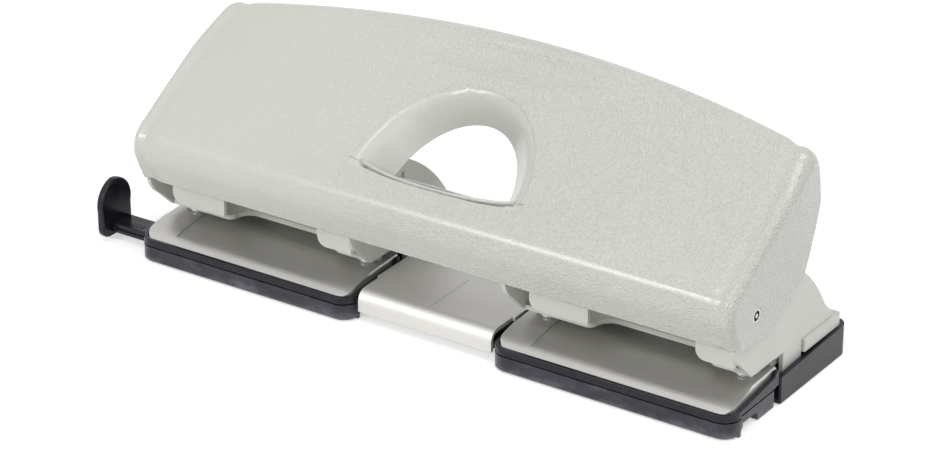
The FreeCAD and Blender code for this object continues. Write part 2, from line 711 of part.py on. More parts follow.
def make_frame(centre):
    """One bent sheet: two cheeks, the upper guide web and two front tabs."""
    cheek_inner = CHEEK_OUTER - SHEET
    web_bottom = TOP_WEB_TOP - SHEET
    back_of_tab = TOP_WEB_FRONT + SHEET
    frame = cheek(centre - CHEEK_OUTER, centre - cheek_inner)
    frame = frame.fuse(cheek(centre + cheek_inner, centre + CHEEK_OUTER))
    web = plan_prism(
        [
            (centre - cheek_inner, WEB_CORNER_DEPTH),
            (centre - TAB_OUTER, WEB_CORNER_DEPTH),
            (centre - TAB_OUTER, TOP_WEB_FRONT),
            (centre - TAB_INNER, TOP_WEB_FRONT),
            (centre - TAB_INNER, WEB_RELIEF_DEPTH),
            (centre + RIGHT_TAB_START, WEB_RELIEF_DEPTH),
            (centre + RIGHT_TAB_START, TOP_WEB_FRONT),
            (centre + cheek_inner, TOP_WEB_FRONT),
            (centre + cheek_inner, TOP_WEB_BACK),
            (centre - cheek_inner, TOP_WEB_BACK),
        ],
        web_bottom,
        TOP_WEB_TOP,
        [0, 1.5, 0, 0, 3, 3, 0, 0, 0, 0],
    )
    left_tab = front_prism(
        [
            (centre - TAB_OUTER, TAB_BOTTOM),
            (centre - TAB_INNER, TAB_BOTTOM),
            (centre - TAB_INNER, TOP_WEB_TOP),
            (centre - TAB_OUTER, TOP_WEB_TOP),
        ],
        TOP_WEB_FRONT,
        back_of_tab,
        [TAB_CORNER, 0.6, 0, 0],
    )
    right_tab = front_prism(
        [
            (centre + RIGHT_TAB_START, TAB_BOTTOM),
            (centre + cheek_inner, TAB_BOTTOM),
            (centre + cheek_inner, TOP_WEB_TOP),
            (centre + RIGHT_TAB_START, TOP_WEB_TOP),
        ],
        TOP_WEB_FRONT,
        back_of_tab,
        [TAB_CORNER, 0, 0, 0],
    )
    corner_start = centre + cheek_inner - 0.5
    corner_end = centre + CHEEK_OUTER
    corner_tab = box(corner_start, corner_end, TOP_WEB_FRONT, back_of_tab, CORNER_TAB_BOTTOM, CORNER_TAB_TOP)
    frame = frame.fuse([web, left_tab, right_tab, corner_tab])
    for side in (-1, 1):
        hole_radius = PUNCH_RADIUS + PUNCH_RUNNING_GAP
        x = centre + side * HOLE_PITCH / 2
        frame = frame.cut(rod_z(x, PUNCH_DEPTH, hole_radius, web_bottom - 1, TOP_WEB_TOP + 1))
    return frame.removeSplitter()


def make_guide_web(centre):
    """Lower guide web over the paper throat, with the paper stop turned down at its back."""
    half = CHEEK_OUTER - SHEET
    top = GUIDE_WEB_BOTTOM + SHEET
    web = plan_prism(
        [
            (centre - half, GUIDE_WEB_FRONT),
            (centre - GUIDE_WEB_TONGUE, GUIDE_WEB_FRONT),
            (centre - GUIDE_WEB_TONGUE, GUIDE_WEB_RELIEF),
            (centre + RIGHT_TAB_START, GUIDE_WEB_RELIEF),
            (centre + RIGHT_TAB_START, GUIDE_WEB_FRONT),
            (centre + half, GUIDE_WEB_FRONT),
            (centre + half, LEG_FRONT),
            (centre - half, LEG_FRONT),
        ],
        GUIDE_WEB_BOTTOM,
        top,
        [0, GUIDE_WEB_CORNER, 2 * GUIDE_WEB_CORNER, 2 * GUIDE_WEB_CORNER, GUIDE_WEB_CORNER, 0, 0, 0],
    )
    stop = box(centre - half + 0.5, centre + half - 0.5, STOP_DEPTH, STOP_DEPTH + SHEET, PLATE_TOP, top)
    web = web.fuse(stop)
    for side in (-1, 1):
        x = centre + side * HOLE_PITCH / 2
        web = web.cut(rod_z(x, PUNCH_DEPTH, PUNCH_RADIUS + PUNCH_RUNNING_GAP, GUIDE_WEB_BOTTOM - 1, top + 1))
    return web.removeSplitter()


# ---- Punches ----

def head_top():
    return BAR_HEIGHT - BAR_RADIUS - GAP


def collar_top():
    return TOP_WEB_TOP - SHEET - GAP


def make_punch(x):
    """Punch pin with a flat head, a collar groove and a saddle-ground cutting tip."""
    top = head_top()
    pin = rod_z(x, PUNCH_DEPTH, PUNCH_RADIUS, PUNCH_TIP_HEIGHT, top)
    head = rod_z(x, PUNCH_DEPTH, HEAD_RADIUS, top - HEAD_THICKNESS, top)
    pin = pin.fuse(head)
    saddle_half = PUNCH_RADIUS - PUNCH_TIP_LAND
    saddle_radius = (saddle_half ** 2 + PUNCH_TIP_HOLLOW ** 2) / (2 * PUNCH_TIP_HOLLOW)
    saddle_height = PUNCH_TIP_HEIGHT + PUNCH_TIP_HOLLOW - saddle_radius
    saddle = rod_y(x, saddle_height, saddle_radius, PUNCH_DEPTH - HEAD_RADIUS, PUNCH_DEPTH + HEAD_RADIUS)
    groove = rod_z(x, PUNCH_DEPTH, PUNCH_RADIUS + 1, collar_top() - COLLAR_THICKNESS, collar_top())
    groove = groove.cut(rod_z(x, PUNCH_DEPTH, PUNCH_RADIUS - 0.5, 0, top))
    return pin.cut(saddle).cut(groove)


def make_collar(x):
    """Open retaining ring that snaps into the punch's groove."""
    low = collar_top() - COLLAR_THICKNESS
    ring = rod_z(x, PUNCH_DEPTH, COLLAR_RADIUS, low, collar_top())
    ring = ring.cut(rod_z(x, PUNCH_DEPTH, PUNCH_RADIUS - 0.5, low - 1, collar_top() + 1))
    mouth = box(x - 1.4, x + 1.4, PUNCH_DEPTH, PUNCH_DEPTH + COLLAR_RADIUS + 1, low - 1, collar_top() + 1)
    return ring.cut(mouth)


def make_spring(x):
    """Return spring round the punch, between the guide web and the collar."""
    half_wire = SPRING_WIRE / 2
    coil_radius = PUNCH_RADIUS + SPRING_CLEARANCE + half_wire
    low = GUIDE_WEB_BOTTOM + SHEET + half_wire
    high = collar_top() - COLLAR_THICKNESS - half_wire
    count = SPRING_TURNS * SPRING_SIDES
    points = []
    for step in range(count + 1):
        angle = 2 * math.pi * step / SPRING_SIDES
        rise = low + (high - low) * step / count
        across = Vector(coil_radius * math.cos(angle), coil_radius * math.sin(angle), 0)
        points.append(at(x, PUNCH_DEPTH, rise) + across)
    corners = [(-1, -1), (1, -1), (1, 1), (-1, 1), (-1, -1)]
    section = [points[0] + Vector(half_wire * out, 0, half_wire * up) for out, up in corners]
    coil = Part.Wire(Part.makePolygon(points).Edges)
    return coil.makePipeShell([Part.makePolygon(section)], True, False, 1)


# ---- Base plates and dies ----

def plate_top_outline(sink):
    """Nose, ramp and flat of the base plate's upper surface, in depth and height."""
    return [
        (PLATE_FRONT + sink, PLATE_NOSE_LOW - sink),
        (PLATE_BROW[0] + sink / 2, PLATE_BROW[1] - sink),
        (PLATE_RAMP_END, PLATE_TOP - sink),
        (PLATE_BACK, PLATE_TOP - sink),
    ]


def plate_form(centre, inset, bottom):
    """Solid form of a base plate from its sloping top down to one level."""
    half = UNIT_HALF_WIDTH - TRIM_WALL - GAP - inset
    front = PLATE_FRONT + inset
    radius = PLATE_CORNER - inset
    outline = plate_top_outline(inset) + [(PLATE_BACK, bottom), (front, bottom)]
    form = side_prism(outline, centre - half, centre + half)
    plan = plan_prism(
        [
            (centre - half, front),
            (centre + half, front),
            (centre + half, PLATE_BACK),
            (centre - half, PLATE_BACK),
        ],
        bottom - 1,
        PLATE_TOP + BEYOND,
        [radius, radius, 0, 0],
    )
    return form.common(plan)


def make_base_plate(centre, guide_side):
    """Pressed plate with turned-down sides, a sunk middle panel and a tongue into the base."""
    outer = plate_form(centre, 0, TRIM_BOTTOM + GAP)
    half = UNIT_HALF_WIDTH - TRIM_WALL - GAP

    def upper_side(edge):
        box_of_edge = edge.BoundBox
        beside = abs(abs(box_of_edge.Center.x - centre) - half) < 0.01 and box_of_edge.XLength < 0.01
        sloping = box_of_edge.YLength > PLATE_RAMP_END - PLATE_BROW[0] - 1
        return beside and sloping and box_of_edge.ZMin > PLATE_NOSE_LOW

    outer = outer.makeFillet(PLATE_EDGE_RADIUS, edges_where(outer, upper_side))
    plate = outer.cut(plate_form(centre, PLATE_SHEET, 0))
    tongue_half = CHEEK_OUTER - SHEET - 2 * GAP
    tongue_x = (centre - tongue_half, centre + tongue_half)
    plate = plate.fuse(box(*tongue_x, PLATE_BACK - 1, LEG_BACK, PLATE_TOP - PLATE_SHEET, PLATE_TOP))
    above = PLATE_TOP + BEYOND
    panel_back = STOP_DEPTH - 1
    ramp = (PLATE_TOP - PLATE_BROW[1]) / (PLATE_RAMP_END - PLATE_BROW[0])
    panel_nose = PLATE_BROW[1] + ramp * (PLATE_PANEL_FRONT - PLATE_BROW[0]) - PLATE_PANEL_SINK
    panel = [
        (PLATE_PANEL_FRONT, above),
        (PLATE_PANEL_FRONT, panel_nose),
        (PLATE_RAMP_END, PLATE_TOP - PLATE_PANEL_SINK),
        (panel_back, PLATE_TOP - PLATE_PANEL_SINK),
        (panel_back, above),
    ]
    plate = plate.cut(side_prism(panel, centre - PLATE_PANEL_HALF, centre + PLATE_PANEL_HALF))
    for side in (-1, 1):
        x = centre + side * HOLE_PITCH / 2
        plate = plate.cut(rod_z(x, PUNCH_DEPTH, DIE_BODY_RADIUS, 0, above))
    if guide_side:
        plate = plate.cut(guide_passage(centre, guide_side))
    return plate.removeSplitter()


def make_die(x):
    """Hardened die: flange on the plate, body through it, bore clearing the punch."""
    low = PLATE_TOP - DIE_LENGTH
    die = rod_z(x, PUNCH_DEPTH, DIE_BODY_RADIUS, low, PLATE_TOP)
    flange = rod_z(x, PUNCH_DEPTH, DIE_FLANGE_RADIUS, PLATE_TOP, PLATE_TOP + DIE_FLANGE_RISE)
    die = die.fuse(flange)
    return die.cut(rod_z(x, PUNCH_DEPTH, PUNCH_RADIUS + DIE_BORE_GAP, low - 1, PLATE_TOP + BEYOND))


# ---- Trim rings and chip trays ----

def ring_plan(centre, inset, depth_end, height0, height1, corner):
    half = UNIT_HALF_WIDTH - inset
    return plan_prism(
        [
            (centre - half, inset),
            (centre + half, inset),
            (centre + half, depth_end),
            (centre - half, depth_end),
        ],
        height0,
        height1,
        [corner, corner, 0, 0],
    )


def guide_passage(centre, guide_side):
    """Room for the guide bar where it leaves through a unit's side."""
    inner = UNIT_HALF_WIDTH - TRIM_WALL - PLATE_SHEET - 2 * GAP
    outside = UNIT_HALF_WIDTH + BEYOND
    x0, x1 = sorted((centre + guide_side * inner, centre + guide_side * outside))
    front = GUIDE_BAR_FRONT - 2 * GAP
    back = GUIDE_BAR_FRONT + GUIDE_BAR_WIDTH + 2 * GAP
    return box(x0, x1, front, back, GUIDE_BAR_BOTTOM - GAP, GUIDE_BAR_BOTTOM + GUIDE_BAR_HEIGHT + GAP)


def make_trim(centre, guide_side):
    """Glossy ring round a base plate, low at the front and rising to a post at each back end."""
    top = TRIM_POST_TOP[1] + 2
    past = TRIM_BACK + BEYOND
    outside = UNIT_HALF_WIDTH + BEYOND
    ring = ring_plan(centre, 0, TRIM_BACK, TRIM_BOTTOM, top, TRAY_CORNER)
    hollow = ring_plan(centre, TRIM_WALL, past, TRIM_BOTTOM - 1, top + 1, TRAY_CORNER - TRIM_WALL)
    ring = ring.cut(hollow)
    rise = [
        (-BEYOND, TRIM_FRONT_TOP),
        TRIM_SLOPE_START,
        TRIM_SLOPE_END,
        TRIM_POST_FOOT,
        TRIM_POST_TOP,
        (past, TRIM_POST_TOP[1]),
        (past, top + 1),
        (-BEYOND, top + 1),
    ]
    ring = ring.cut(side_prism(rise, centre - outside, centre + outside))
    for side in (-1, 1):
        x0, x1 = sorted((centre + side * (UNIT_HALF_WIDTH - TRIM_INSET), centre + side * outside))
        ring = ring.cut(box(x0, x1, TRAY_CORNER + 0.8, past, 0, TRIM_LEDGE))
    if guide_side:
        ring = ring.cut(guide_passage(centre, guide_side))
    return ring


def tray_form(centre, inset, bottom):
    """Tray outline: full width at its rounded front, set in along the sides."""
    front = ring_plan(centre, inset, TRAY_CORNER + 1.6, bottom, TRAY_TOP, TRAY_CORNER - inset)
    half = UNIT_HALF_WIDTH - TRIM_INSET - inset
    body = box(centre - half, centre + half, TRAY_CORNER, TRAY_BACK - inset, bottom, TRAY_TOP)
    return front.fuse(body).removeSplitter()


def notch_form(x_edge, inward, margin):
    """Arched finger notch under a tray's side, seen along X."""
    x0, x1 = sorted((x_edge - inward * 2, x_edge + inward * (NOTCH_REACH + margin)))
    top = NOTCH_TOP + margin
    pairs = [
        (NOTCH_FRONT - margin, -1),
        (NOTCH_BACK + margin, -1),
        (NOTCH_BACK + margin, top),
        (NOTCH_FRONT - margin, top),
    ]
    return side_prism(pairs, x0, x1, [0, 0, NOTCH_CORNER, NOTCH_CORNER])


def make_tray(centre, guide_side, notch_sides):
    """Smoked chip tray that swings down about two pins at its back."""
    outer = tray_form(centre, 0, TRAY_BOTTOM)

    def low_front(edge):
        return edge.BoundBox.ZMax < TRAY_BOTTOM + 0.01 and edge.BoundBox.YMax < at(0, 1, 0).y

    outer = outer.makeChamfer(TRAY_LOW_CHAMFER, edges_where(outer, low_front))
    tray = outer.cut(tray_form(centre, TRAY_WALL, TRAY_BOTTOM + TRAY_WALL))
    half = UNIT_HALF_WIDTH - TRIM_INSET
    for side in notch_sides:
        edge = centre + side * half
        hood = notch_form(edge, -side, TRAY_WALL).common(tray_form(centre, 0, TRAY_BOTTOM))
        tray = tray.fuse(hood).cut(notch_form(edge, -side, 0))
    pocket_half = LUG_WIDTH / 2 + GAP + TRAY_WALL
    pocket_front = TRAY_HINGE_DEPTH - LUG_RADIUS - 0.5 - TRAY_WALL
    for side in (-1, 1):
        x = centre + side * KNUCKLE_OFFSET
        block = box(x - pocket_half, x + pocket_half, pocket_front, TRAY_BACK, TRAY_BOTTOM, TRAY_TOP)
        inside = pocket_half - TRAY_WALL
        pocket = box(x - inside, x + inside, pocket_front + TRAY_WALL, TRAY_BACK + 1, -1, TRAY_TOP + 1)
        reach = pocket_half + 1
        pin_hole = rod_x(TRAY_HINGE_DEPTH, TRAY_HINGE_HEIGHT, HINGE_PIN_RADIUS, x - reach, x + reach)
        tray = tray.fuse(block).cut(pocket).cut(pin_hole)
    if guide_side:
        outside = UNIT_HALF_WIDTH + BEYOND
        x0, x1 = sorted((centre + guide_side * (half - TRAY_WALL - 1), centre + guide_side * outside))
        slot_front = GUIDE_BAR_FRONT - 2 * GAP
        slot_back = GUIDE_BAR_FRONT + GUIDE_BAR_WIDTH + 4 * GAP
        tray = tray.cut(box(x0, x1, slot_front, slot_back, TRAY_BOTTOM + TRAY_WALL, TRAY_TOP + 1))
    return tray.removeSplitter()


def make_tray_pins(centre):
    """Steel pins through each tray's knuckles and the foot's lugs."""
    half = LUG_WIDTH / 2 + GAP + TRAY_WALL
    pins = []
    for side in (-1, 1):
        x = centre + side * KNUCKLE_OFFSET
        pins.append(rod_x(TRAY_HINGE_DEPTH, TRAY_HINGE_HEIGHT, HINGE_PIN_RADIUS, x - half, x + half))
    return Part.makeCompound(pins)


# ---- Foot, tie strip, rail, middle plate ----

def foot_lug(x):
    """Rounded lug on the foot's front wall that carries a tray pin."""
    low = TRAY_HINGE_HEIGHT - LUG_RADIUS
    high = TRAY_HINGE_HEIGHT + LUG_RADIUS
    lug = path_prism(
        (FOOT_FRONT + 0.5, low),
        [
            (FOOT_FRONT + 0.5, high),
            (TRAY_HINGE_DEPTH, high),
            (TRAY_HINGE_DEPTH - LUG_RADIUS, TRAY_HINGE_HEIGHT, TRAY_HINGE_DEPTH, low),
            (FOOT_FRONT + 0.5, low),
        ],
        x - LUG_WIDTH / 2,
        x + LUG_WIDTH / 2,
    )
    bore = rod_x(TRAY_HINGE_DEPTH, TRAY_HINGE_HEIGHT, HINGE_PIN_RADIUS + 0.05, x - LUG_WIDTH, x + LUG_WIDTH)
    return lug.cut(bore)


def screw_places():
    depth = (LEG_FRONT + LEG_BACK) / 2
    return [(centre + side * SCREW_OFFSET, depth) for centre in UNIT_CENTRES.values() for side in (-1, 1)]


def middle_plate_underside(depth):
    """Height of the middle plate's flat underside at one depth."""
    front = MIDDLE_FRONT + MIDDLE_SHEET
    share = (depth - front) / (MIDDLE_BACK - front)
    return MIDDLE_NOSE_TOP - MIDDLE_SHEET + share * (MIDDLE_TOP - MIDDLE_NOSE_TOP)


def make_foot():
    """Black moulded foot: a shallow pan along the back with lugs, ribs and a middle tongue."""
    half = UNIT_CENTRES["right"] + UNIT_HALF_WIDTH
    floor_top = FOOT_BOTTOM + FOOT_WALL
    slope = (FOOT_TOP_BACK - FOOT_TOP_FRONT) / (BASE_DEPTH - FOOT_FRONT)
    pan = side_prism(
        [
            (FOOT_FRONT, FOOT_BOTTOM),
            (BASE_DEPTH, FOOT_BOTTOM),
            (BASE_DEPTH, FOOT_TOP_BACK),
            (FOOT_FRONT, FOOT_TOP_FRONT),
        ],
        -half,
        half,
    )
    plan = [(-half, FOOT_FRONT), (half, FOOT_FRONT), (half, BASE_DEPTH), (-half, BASE_DEPTH)]
    above = FOOT_TOP_BACK + BEYOND
    pan = pan.common(plan_prism(plan, 0, above, [0.8, 0.8, FOOT_CORNER, FOOT_CORNER]))
    hollow_half = half - FOOT_WALL
    hollow_back = BASE_DEPTH - FOOT_WALL
    hollow_front = FOOT_FRONT + FOOT_WALL
    hollow = [
        (-hollow_half, hollow_front),
        (hollow_half, hollow_front),
        (hollow_half, hollow_back),
        (-hollow_half, hollow_back),
    ]
    inner_corner = FOOT_CORNER - FOOT_WALL
    pan = pan.cut(plan_prism(hollow, floor_top, above, [0.5, 0.5, inner_corner, inner_corner]))
    pieces = [box(-TONGUE_HALF, TONGUE_HALF, TONGUE_FRONT, FOOT_FRONT + 1, FOOT_BOTTOM, floor_top)]
    rib_low = floor_top - GAP
    rib_front = TONGUE_FRONT + 0.6
    rib_back = MIDDLE_BACK - 1
    tongue_rib = [
        (rib_front, rib_low),
        (rib_back, rib_low),
        (rib_back, middle_plate_underside(rib_back) - 0.1),
        (rib_front, middle_plate_underside(rib_front) - 0.1),
    ]
    for x in (-TONGUE_HALF + TONGUE_RIB, TONGUE_HALF - 2 * TONGUE_RIB):
        pieces.append(side_prism(tongue_rib, x, x + TONGUE_RIB))
    rib_top = PLATE_TOP - PLATE_SHEET
    for centre in UNIT_CENTRES.values():
        for place in FOOT_RIB_PLACES:
            x = centre + place - TONGUE_RIB / 2
            pieces.append(box(x, x + TONGUE_RIB, FOOT_FRONT + 1, LEG_BACK - 0.5, rib_low, rib_top))
        for side in (-1, 1):
            pieces.append(foot_lug(centre + side * KNUCKLE_OFFSET))
    foot = pan.fuse(pieces)
    reach = TIE_HALF_LENGTH + GAP
    strip_depths = (LEG_FRONT + 0.5, LEG_BACK - 0.2)
    foot = foot.cut(box(-reach, reach, *strip_depths, floor_top, floor_top + TIE_SHEET + GAP))
    foot = foot.cut(box(-half, half, FOOT_FRONT + 0.01, LEG_BACK, rib_top, above))
    for x, depth in screw_places():
        foot = foot.cut(rod_z(x, depth, SCREW_RADIUS + 0.1, 0, floor_top + 1))
        foot = foot.cut(rod_z(x, depth, SCREW_HEAD_RADIUS + 0.2, 0, FOOT_BOTTOM + SCREW_HEAD_THICKNESS))
    for place in pad_places():
        foot = foot.cut(pad_block(*place))
    return foot.removeSplitter()


def pad_places():
    """Middle, front and back pads: x, depth, width, length."""
    half = UNIT_CENTRES["right"] + UNIT_HALF_WIDTH
    middle_depth = TONGUE_FRONT + MIDDLE_PAD_LENGTH / 2 + 2
    front_depth = FOOT_FRONT + FRONT_PAD_LENGTH / 2 + 0.9
    back_depth = BASE_DEPTH - FOOT_CORNER - BACK_PAD_LENGTH / 2
    places = [(0, middle_depth, MIDDLE_PAD_WIDTH, MIDDLE_PAD_LENGTH)]
    for side in (-1, 1):
        places.append((side * (half - FRONT_PAD_INSET), front_depth, FRONT_PAD_WIDTH, FRONT_PAD_LENGTH))
        places.append((side * (half - BACK_PAD_INSET), back_depth, BACK_PAD_WIDTH, BACK_PAD_LENGTH))
    return places


def pad_block(x, depth, width, length):
    return box(x - width / 2, x + width / 2, depth - length / 2, depth + length / 2, 0, PAD_THICKNESS)


def make_pads():
    return Part.makeCompound([pad_block(*place) for place in pad_places()])


def make_tie_strip():
    """Steel strip inside the foot that the cheeks' legs stand on."""
    low = FOOT_BOTTOM + FOOT_WALL
    strip = box(-TIE_HALF_LENGTH, TIE_HALF_LENGTH, LEG_FRONT + 0.8, LEG_BACK - 0.5, low, low + TIE_SHEET)
    for x, depth in screw_places():
        strip = strip.cut(rod_z(x, depth, SCREW_RADIUS, low - 1, low + TIE_SHEET + 1))
    return strip


def make_tie_screws():
    screws = []
    top = FOOT_BOTTOM + FOOT_WALL + TIE_SHEET + SCREW_RISE
    seat = FOOT_BOTTOM + SCREW_HEAD_THICKNESS
    for x, depth in screw_places():
        screw = rod_z(x, depth, SCREW_RADIUS, seat, top)
        head = rod_z(x, depth, SCREW_HEAD_RADIUS, FOOT_BOTTOM, seat)
        screws.append(screw.fuse(head))
    return Part.makeCompound(screws)


def rail_form(inset, bottom):
    half = UNIT_CENTRES["right"] + UNIT_HALF_WIDTH - RAIL_INSET - inset
    front = RAIL_FRONT + inset
    back = BASE_DEPTH - RAIL_INSET - inset
    corner = FOOT_CORNER - inset
    plan = [(-half, front), (half, front), (half, back), (-half, back)]
    form = plan_prism(plan, bottom, RAIL_TOP - inset, [0.6, 0.6, corner, corner])
    crown = side_prism(
        [
            (front - 1, bottom - 1),
            (back + 1, bottom - 1),
            (back + 1, RAIL_TOP - RAIL_CROWN_FALL - inset),
            (back - RAIL_CROWN_RUN, RAIL_TOP - inset),
            (front - 1, RAIL_TOP - inset),
        ],
        -half - 1,
        half + 1,
    )
    return form.common(crown)


def make_rail():
    """Light steel rail along the back, a pan turned over on the foot's rim."""
    rail = rail_form(0, FOOT_TOP_BACK).cut(rail_form(RAIL_SHEET, 0))
    far = UNIT_CENTRES["right"] + UNIT_HALF_WIDTH
    return rail.cut(box(-far, far, RAIL_FRONT - 1, RAIL_FRONT + RAIL_SHEET + 0.01, 0, FOOT_TOP_BACK))


def make_middle_plate():
    """Bridge plate between the units, with a rolled front lip and a centre mark."""
    outline = [
        (MIDDLE_FRONT, MIDDLE_LIP_BOTTOM),
        (MIDDLE_FRONT, MIDDLE_NOSE_TOP),
        (MIDDLE_BACK, MIDDLE_TOP),
        (MIDDLE_BACK, MIDDLE_TOP - MIDDLE_SHEET),
        (MIDDLE_FRONT + MIDDLE_SHEET, MIDDLE_NOSE_TOP - MIDDLE_SHEET),
        (MIDDLE_FRONT + MIDDLE_SHEET, MIDDLE_LIP_BOTTOM),
    ]
    radii = [0, MIDDLE_NOSE_RADIUS, 0, 0, MIDDLE_NOSE_RADIUS - MIDDLE_SHEET, 0]
    plate = side_prism(outline, -MIDDLE_HALF_BACK, MIDDLE_HALF_BACK, radii)
    for side in (-1, 1):
        x0, x1 = sorted((side * MIDDLE_HALF_FRONT, side * (MIDDLE_HALF_BACK + 1)))
        plate = plate.cut(box(x0, x1, 0, MIDDLE_STEP, 0, MIDDLE_TOP + 1))
    mark_rise = MIDDLE_SHEET - MARK_DEPTH
    mark = [
        (MARK_FRONT, middle_plate_underside(MARK_FRONT) + mark_rise),
        (MARK_BACK, middle_plate_underside(MARK_BACK) + mark_rise),
        (MARK_BACK, MIDDLE_TOP + 1),
        (MARK_FRONT, MIDDLE_TOP + 1),
    ]
    return plate.cut(side_prism(mark, -MARK_HALF_WIDTH, MARK_HALF_WIDTH))


# ---- Side guide ----

def make_guide_bar():
    """Sliding bar with rounded edges and a groove along its front side."""
    back = GUIDE_BAR_FRONT + GUIDE_BAR_WIDTH
    top = GUIDE_BAR_BOTTOM + GUIDE_BAR_HEIGHT
    bar = side_prism(
        [
            (GUIDE_BAR_FRONT, GUIDE_BAR_BOTTOM),
            (back, GUIDE_BAR_BOTTOM),
            (back, top),
            (GUIDE_BAR_FRONT, top),
        ],
        GUIDE_STOP_X,
        GUIDE_BAR_INNER_END,
        [0.5, 0.5, 0.5, 0.5],
    )
    groove_low = GUIDE_BAR_BOTTOM + (GUIDE_BAR_HEIGHT - GUIDE_GROOVE) / 2
    groove_x = (GUIDE_STOP_X + 1, GUIDE_BAR_INNER_END - 3)
    groove_depths = (GUIDE_BAR_FRONT - 1, GUIDE_BAR_FRONT + GUIDE_GROOVE)
    return bar.cut(box(*groove_x, *groove_depths, groove_low, groove_low + GUIDE_GROOVE))


def make_stop_plate():
    """Paper side stop: a paddle with a domed top across the end of the bar."""
    width = STOP_BACK - STOP_FRONT
    middle = STOP_FRONT + 0.47 * width
    corner = 0.235 * width
    return path_prism(
        (STOP_FRONT + corner, STOP_BOTTOM),
        [
            (STOP_BACK, STOP_BOTTOM),
            (STOP_BACK, STOP_SHOULDER),
            (middle + 0.2 * width, STOP_HEIGHT - 0.035 * width, middle, STOP_HEIGHT),
            (STOP_FRONT + 0.06 * width, STOP_HEIGHT - 0.32 * width, STOP_FRONT, STOP_SHOULDER),
            (STOP_FRONT, STOP_BOTTOM + corner),
            (STOP_FRONT + 0.3 * corner, STOP_BOTTOM + 0.3 * corner, STOP_FRONT + corner, STOP_BOTTOM),
        ],
        GUIDE_STOP_X - STOP_THICKNESS,
        GUIDE_STOP_X,
    )


def make_guide_channel():
    """Channel under the left base plate in which the guide bar slides."""
    x0 = UNIT_CENTRES["left"] - UNIT_HALF_WIDTH + TRIM_WALL + GAP + PLATE_SHEET + GAP
    x1 = GUIDE_BAR_INNER_END - CHANNEL_FOOT
    wall = CHANNEL_WALL
    front = GUIDE_BAR_FRONT - CHANNEL_GAP
    back = GUIDE_BAR_FRONT + GUIDE_BAR_WIDTH + CHANNEL_GAP
    top = GUIDE_BAR_BOTTOM + GUIDE_BAR_HEIGHT + CHANNEL_GAP
    low = GUIDE_BAR_BOTTOM - CHANNEL_GAP
    channel = box(x0, x1, front - wall, back + wall, low - CHANNEL_FLOOR, top + wall)
    channel = channel.cut(box(x0 - 1, x1 + 1, front, back, low, top))
    channel = channel.cut(box(x0 - 1, x1 + 1, front + wall, back - wall, low - CHANNEL_FLOOR - 1, low + 1))
    for x in (x0, x1 - CHANNEL_FOOT):
        channel = channel.fuse(box(x, x + CHANNEL_FOOT, back - 1, back + wall, top, PLATE_TOP - PLATE_SHEET))
    return channel.removeSplitter()


def main():
    os.makedirs("parts", exist_ok=True)
    nodes = {
        "lever": make_lever(),
        "presser_bar": make_presser_bar(),
        "bar_hangers": make_bar_hangers(),
        "axle": make_axle(),
        "axle_spacer": make_axle_spacer(),
        "foot": make_foot(),
        "rubber_pads": make_pads(),
        "tie_strip": make_tie_strip(),
        "tie_screws": make_tie_screws(),
        "rear_rail": make_rail(),
        "middle_plate": make_middle_plate(),
        "guide_bar": make_guide_bar(),
        "stop_plate": make_stop_plate(),
        "guide_channel": make_guide_channel(),
    }
    for name, centre in UNIT_CENTRES.items():
        guide_side = -1 if name == "left" else 0
        notch_sides = [1] if name == "left" else [-1, 1]
        nodes["frame_" + name] = make_frame(centre)
        nodes["guide_web_" + name] = make_guide_web(centre)
        nodes["base_plate_" + name] = make_base_plate(centre, guide_side)
        nodes["trim_" + name] = make_trim(centre, guide_side)
        nodes["tray_" + name] = make_tray(centre, guide_side, notch_sides)
        nodes["tray_pins_" + name] = make_tray_pins(centre)
    places = [centre + side * HOLE_PITCH / 2 for centre in UNIT_CENTRES.values() for side in (-1, 1)]
    for number, x in enumerate(places, 1):
        nodes["punch_%d" % number] = make_punch(x)
        nodes["collar_%d" % number] = make_collar(x)
        nodes["spring_%d" % number] = make_spring(x)
        nodes["die_%d" % number] = make_die(x)
    for name, shape in nodes.items():
        shape.exportStep("parts/" + name + ".step")


main()
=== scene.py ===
"""Four-hole desk punch: a long grained lever over two punch units, dressed piece by piece."""
import json
import math

import bmesh
import bpy
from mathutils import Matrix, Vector


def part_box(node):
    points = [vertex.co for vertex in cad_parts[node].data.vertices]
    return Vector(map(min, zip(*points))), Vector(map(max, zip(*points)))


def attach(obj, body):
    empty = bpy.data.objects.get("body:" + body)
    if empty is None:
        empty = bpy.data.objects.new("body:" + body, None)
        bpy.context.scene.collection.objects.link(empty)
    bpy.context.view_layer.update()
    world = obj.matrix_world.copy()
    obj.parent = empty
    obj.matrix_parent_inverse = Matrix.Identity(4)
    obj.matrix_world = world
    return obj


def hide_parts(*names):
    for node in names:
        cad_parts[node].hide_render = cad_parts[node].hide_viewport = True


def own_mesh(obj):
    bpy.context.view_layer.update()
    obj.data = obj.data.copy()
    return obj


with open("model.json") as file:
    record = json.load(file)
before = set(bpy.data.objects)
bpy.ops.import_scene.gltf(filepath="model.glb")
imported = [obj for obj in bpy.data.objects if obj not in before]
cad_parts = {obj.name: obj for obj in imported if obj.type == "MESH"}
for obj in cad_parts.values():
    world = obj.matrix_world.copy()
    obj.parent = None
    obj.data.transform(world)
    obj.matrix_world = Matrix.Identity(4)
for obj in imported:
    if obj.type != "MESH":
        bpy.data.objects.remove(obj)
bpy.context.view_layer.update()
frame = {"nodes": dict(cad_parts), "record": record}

MM = 0.001
BASE_DEPTH = 84.0
UNIT_CENTRES = (-80.0, 80.0)
PUNCH_X = (-120.0, -40.0, 40.0, 120.0)


def at(x, depth, height):
    """A point in metres from millimetres: across, back from the base's front edge, and up."""
    return Vector((x, depth - BASE_DEPTH / 2, height)) * MM


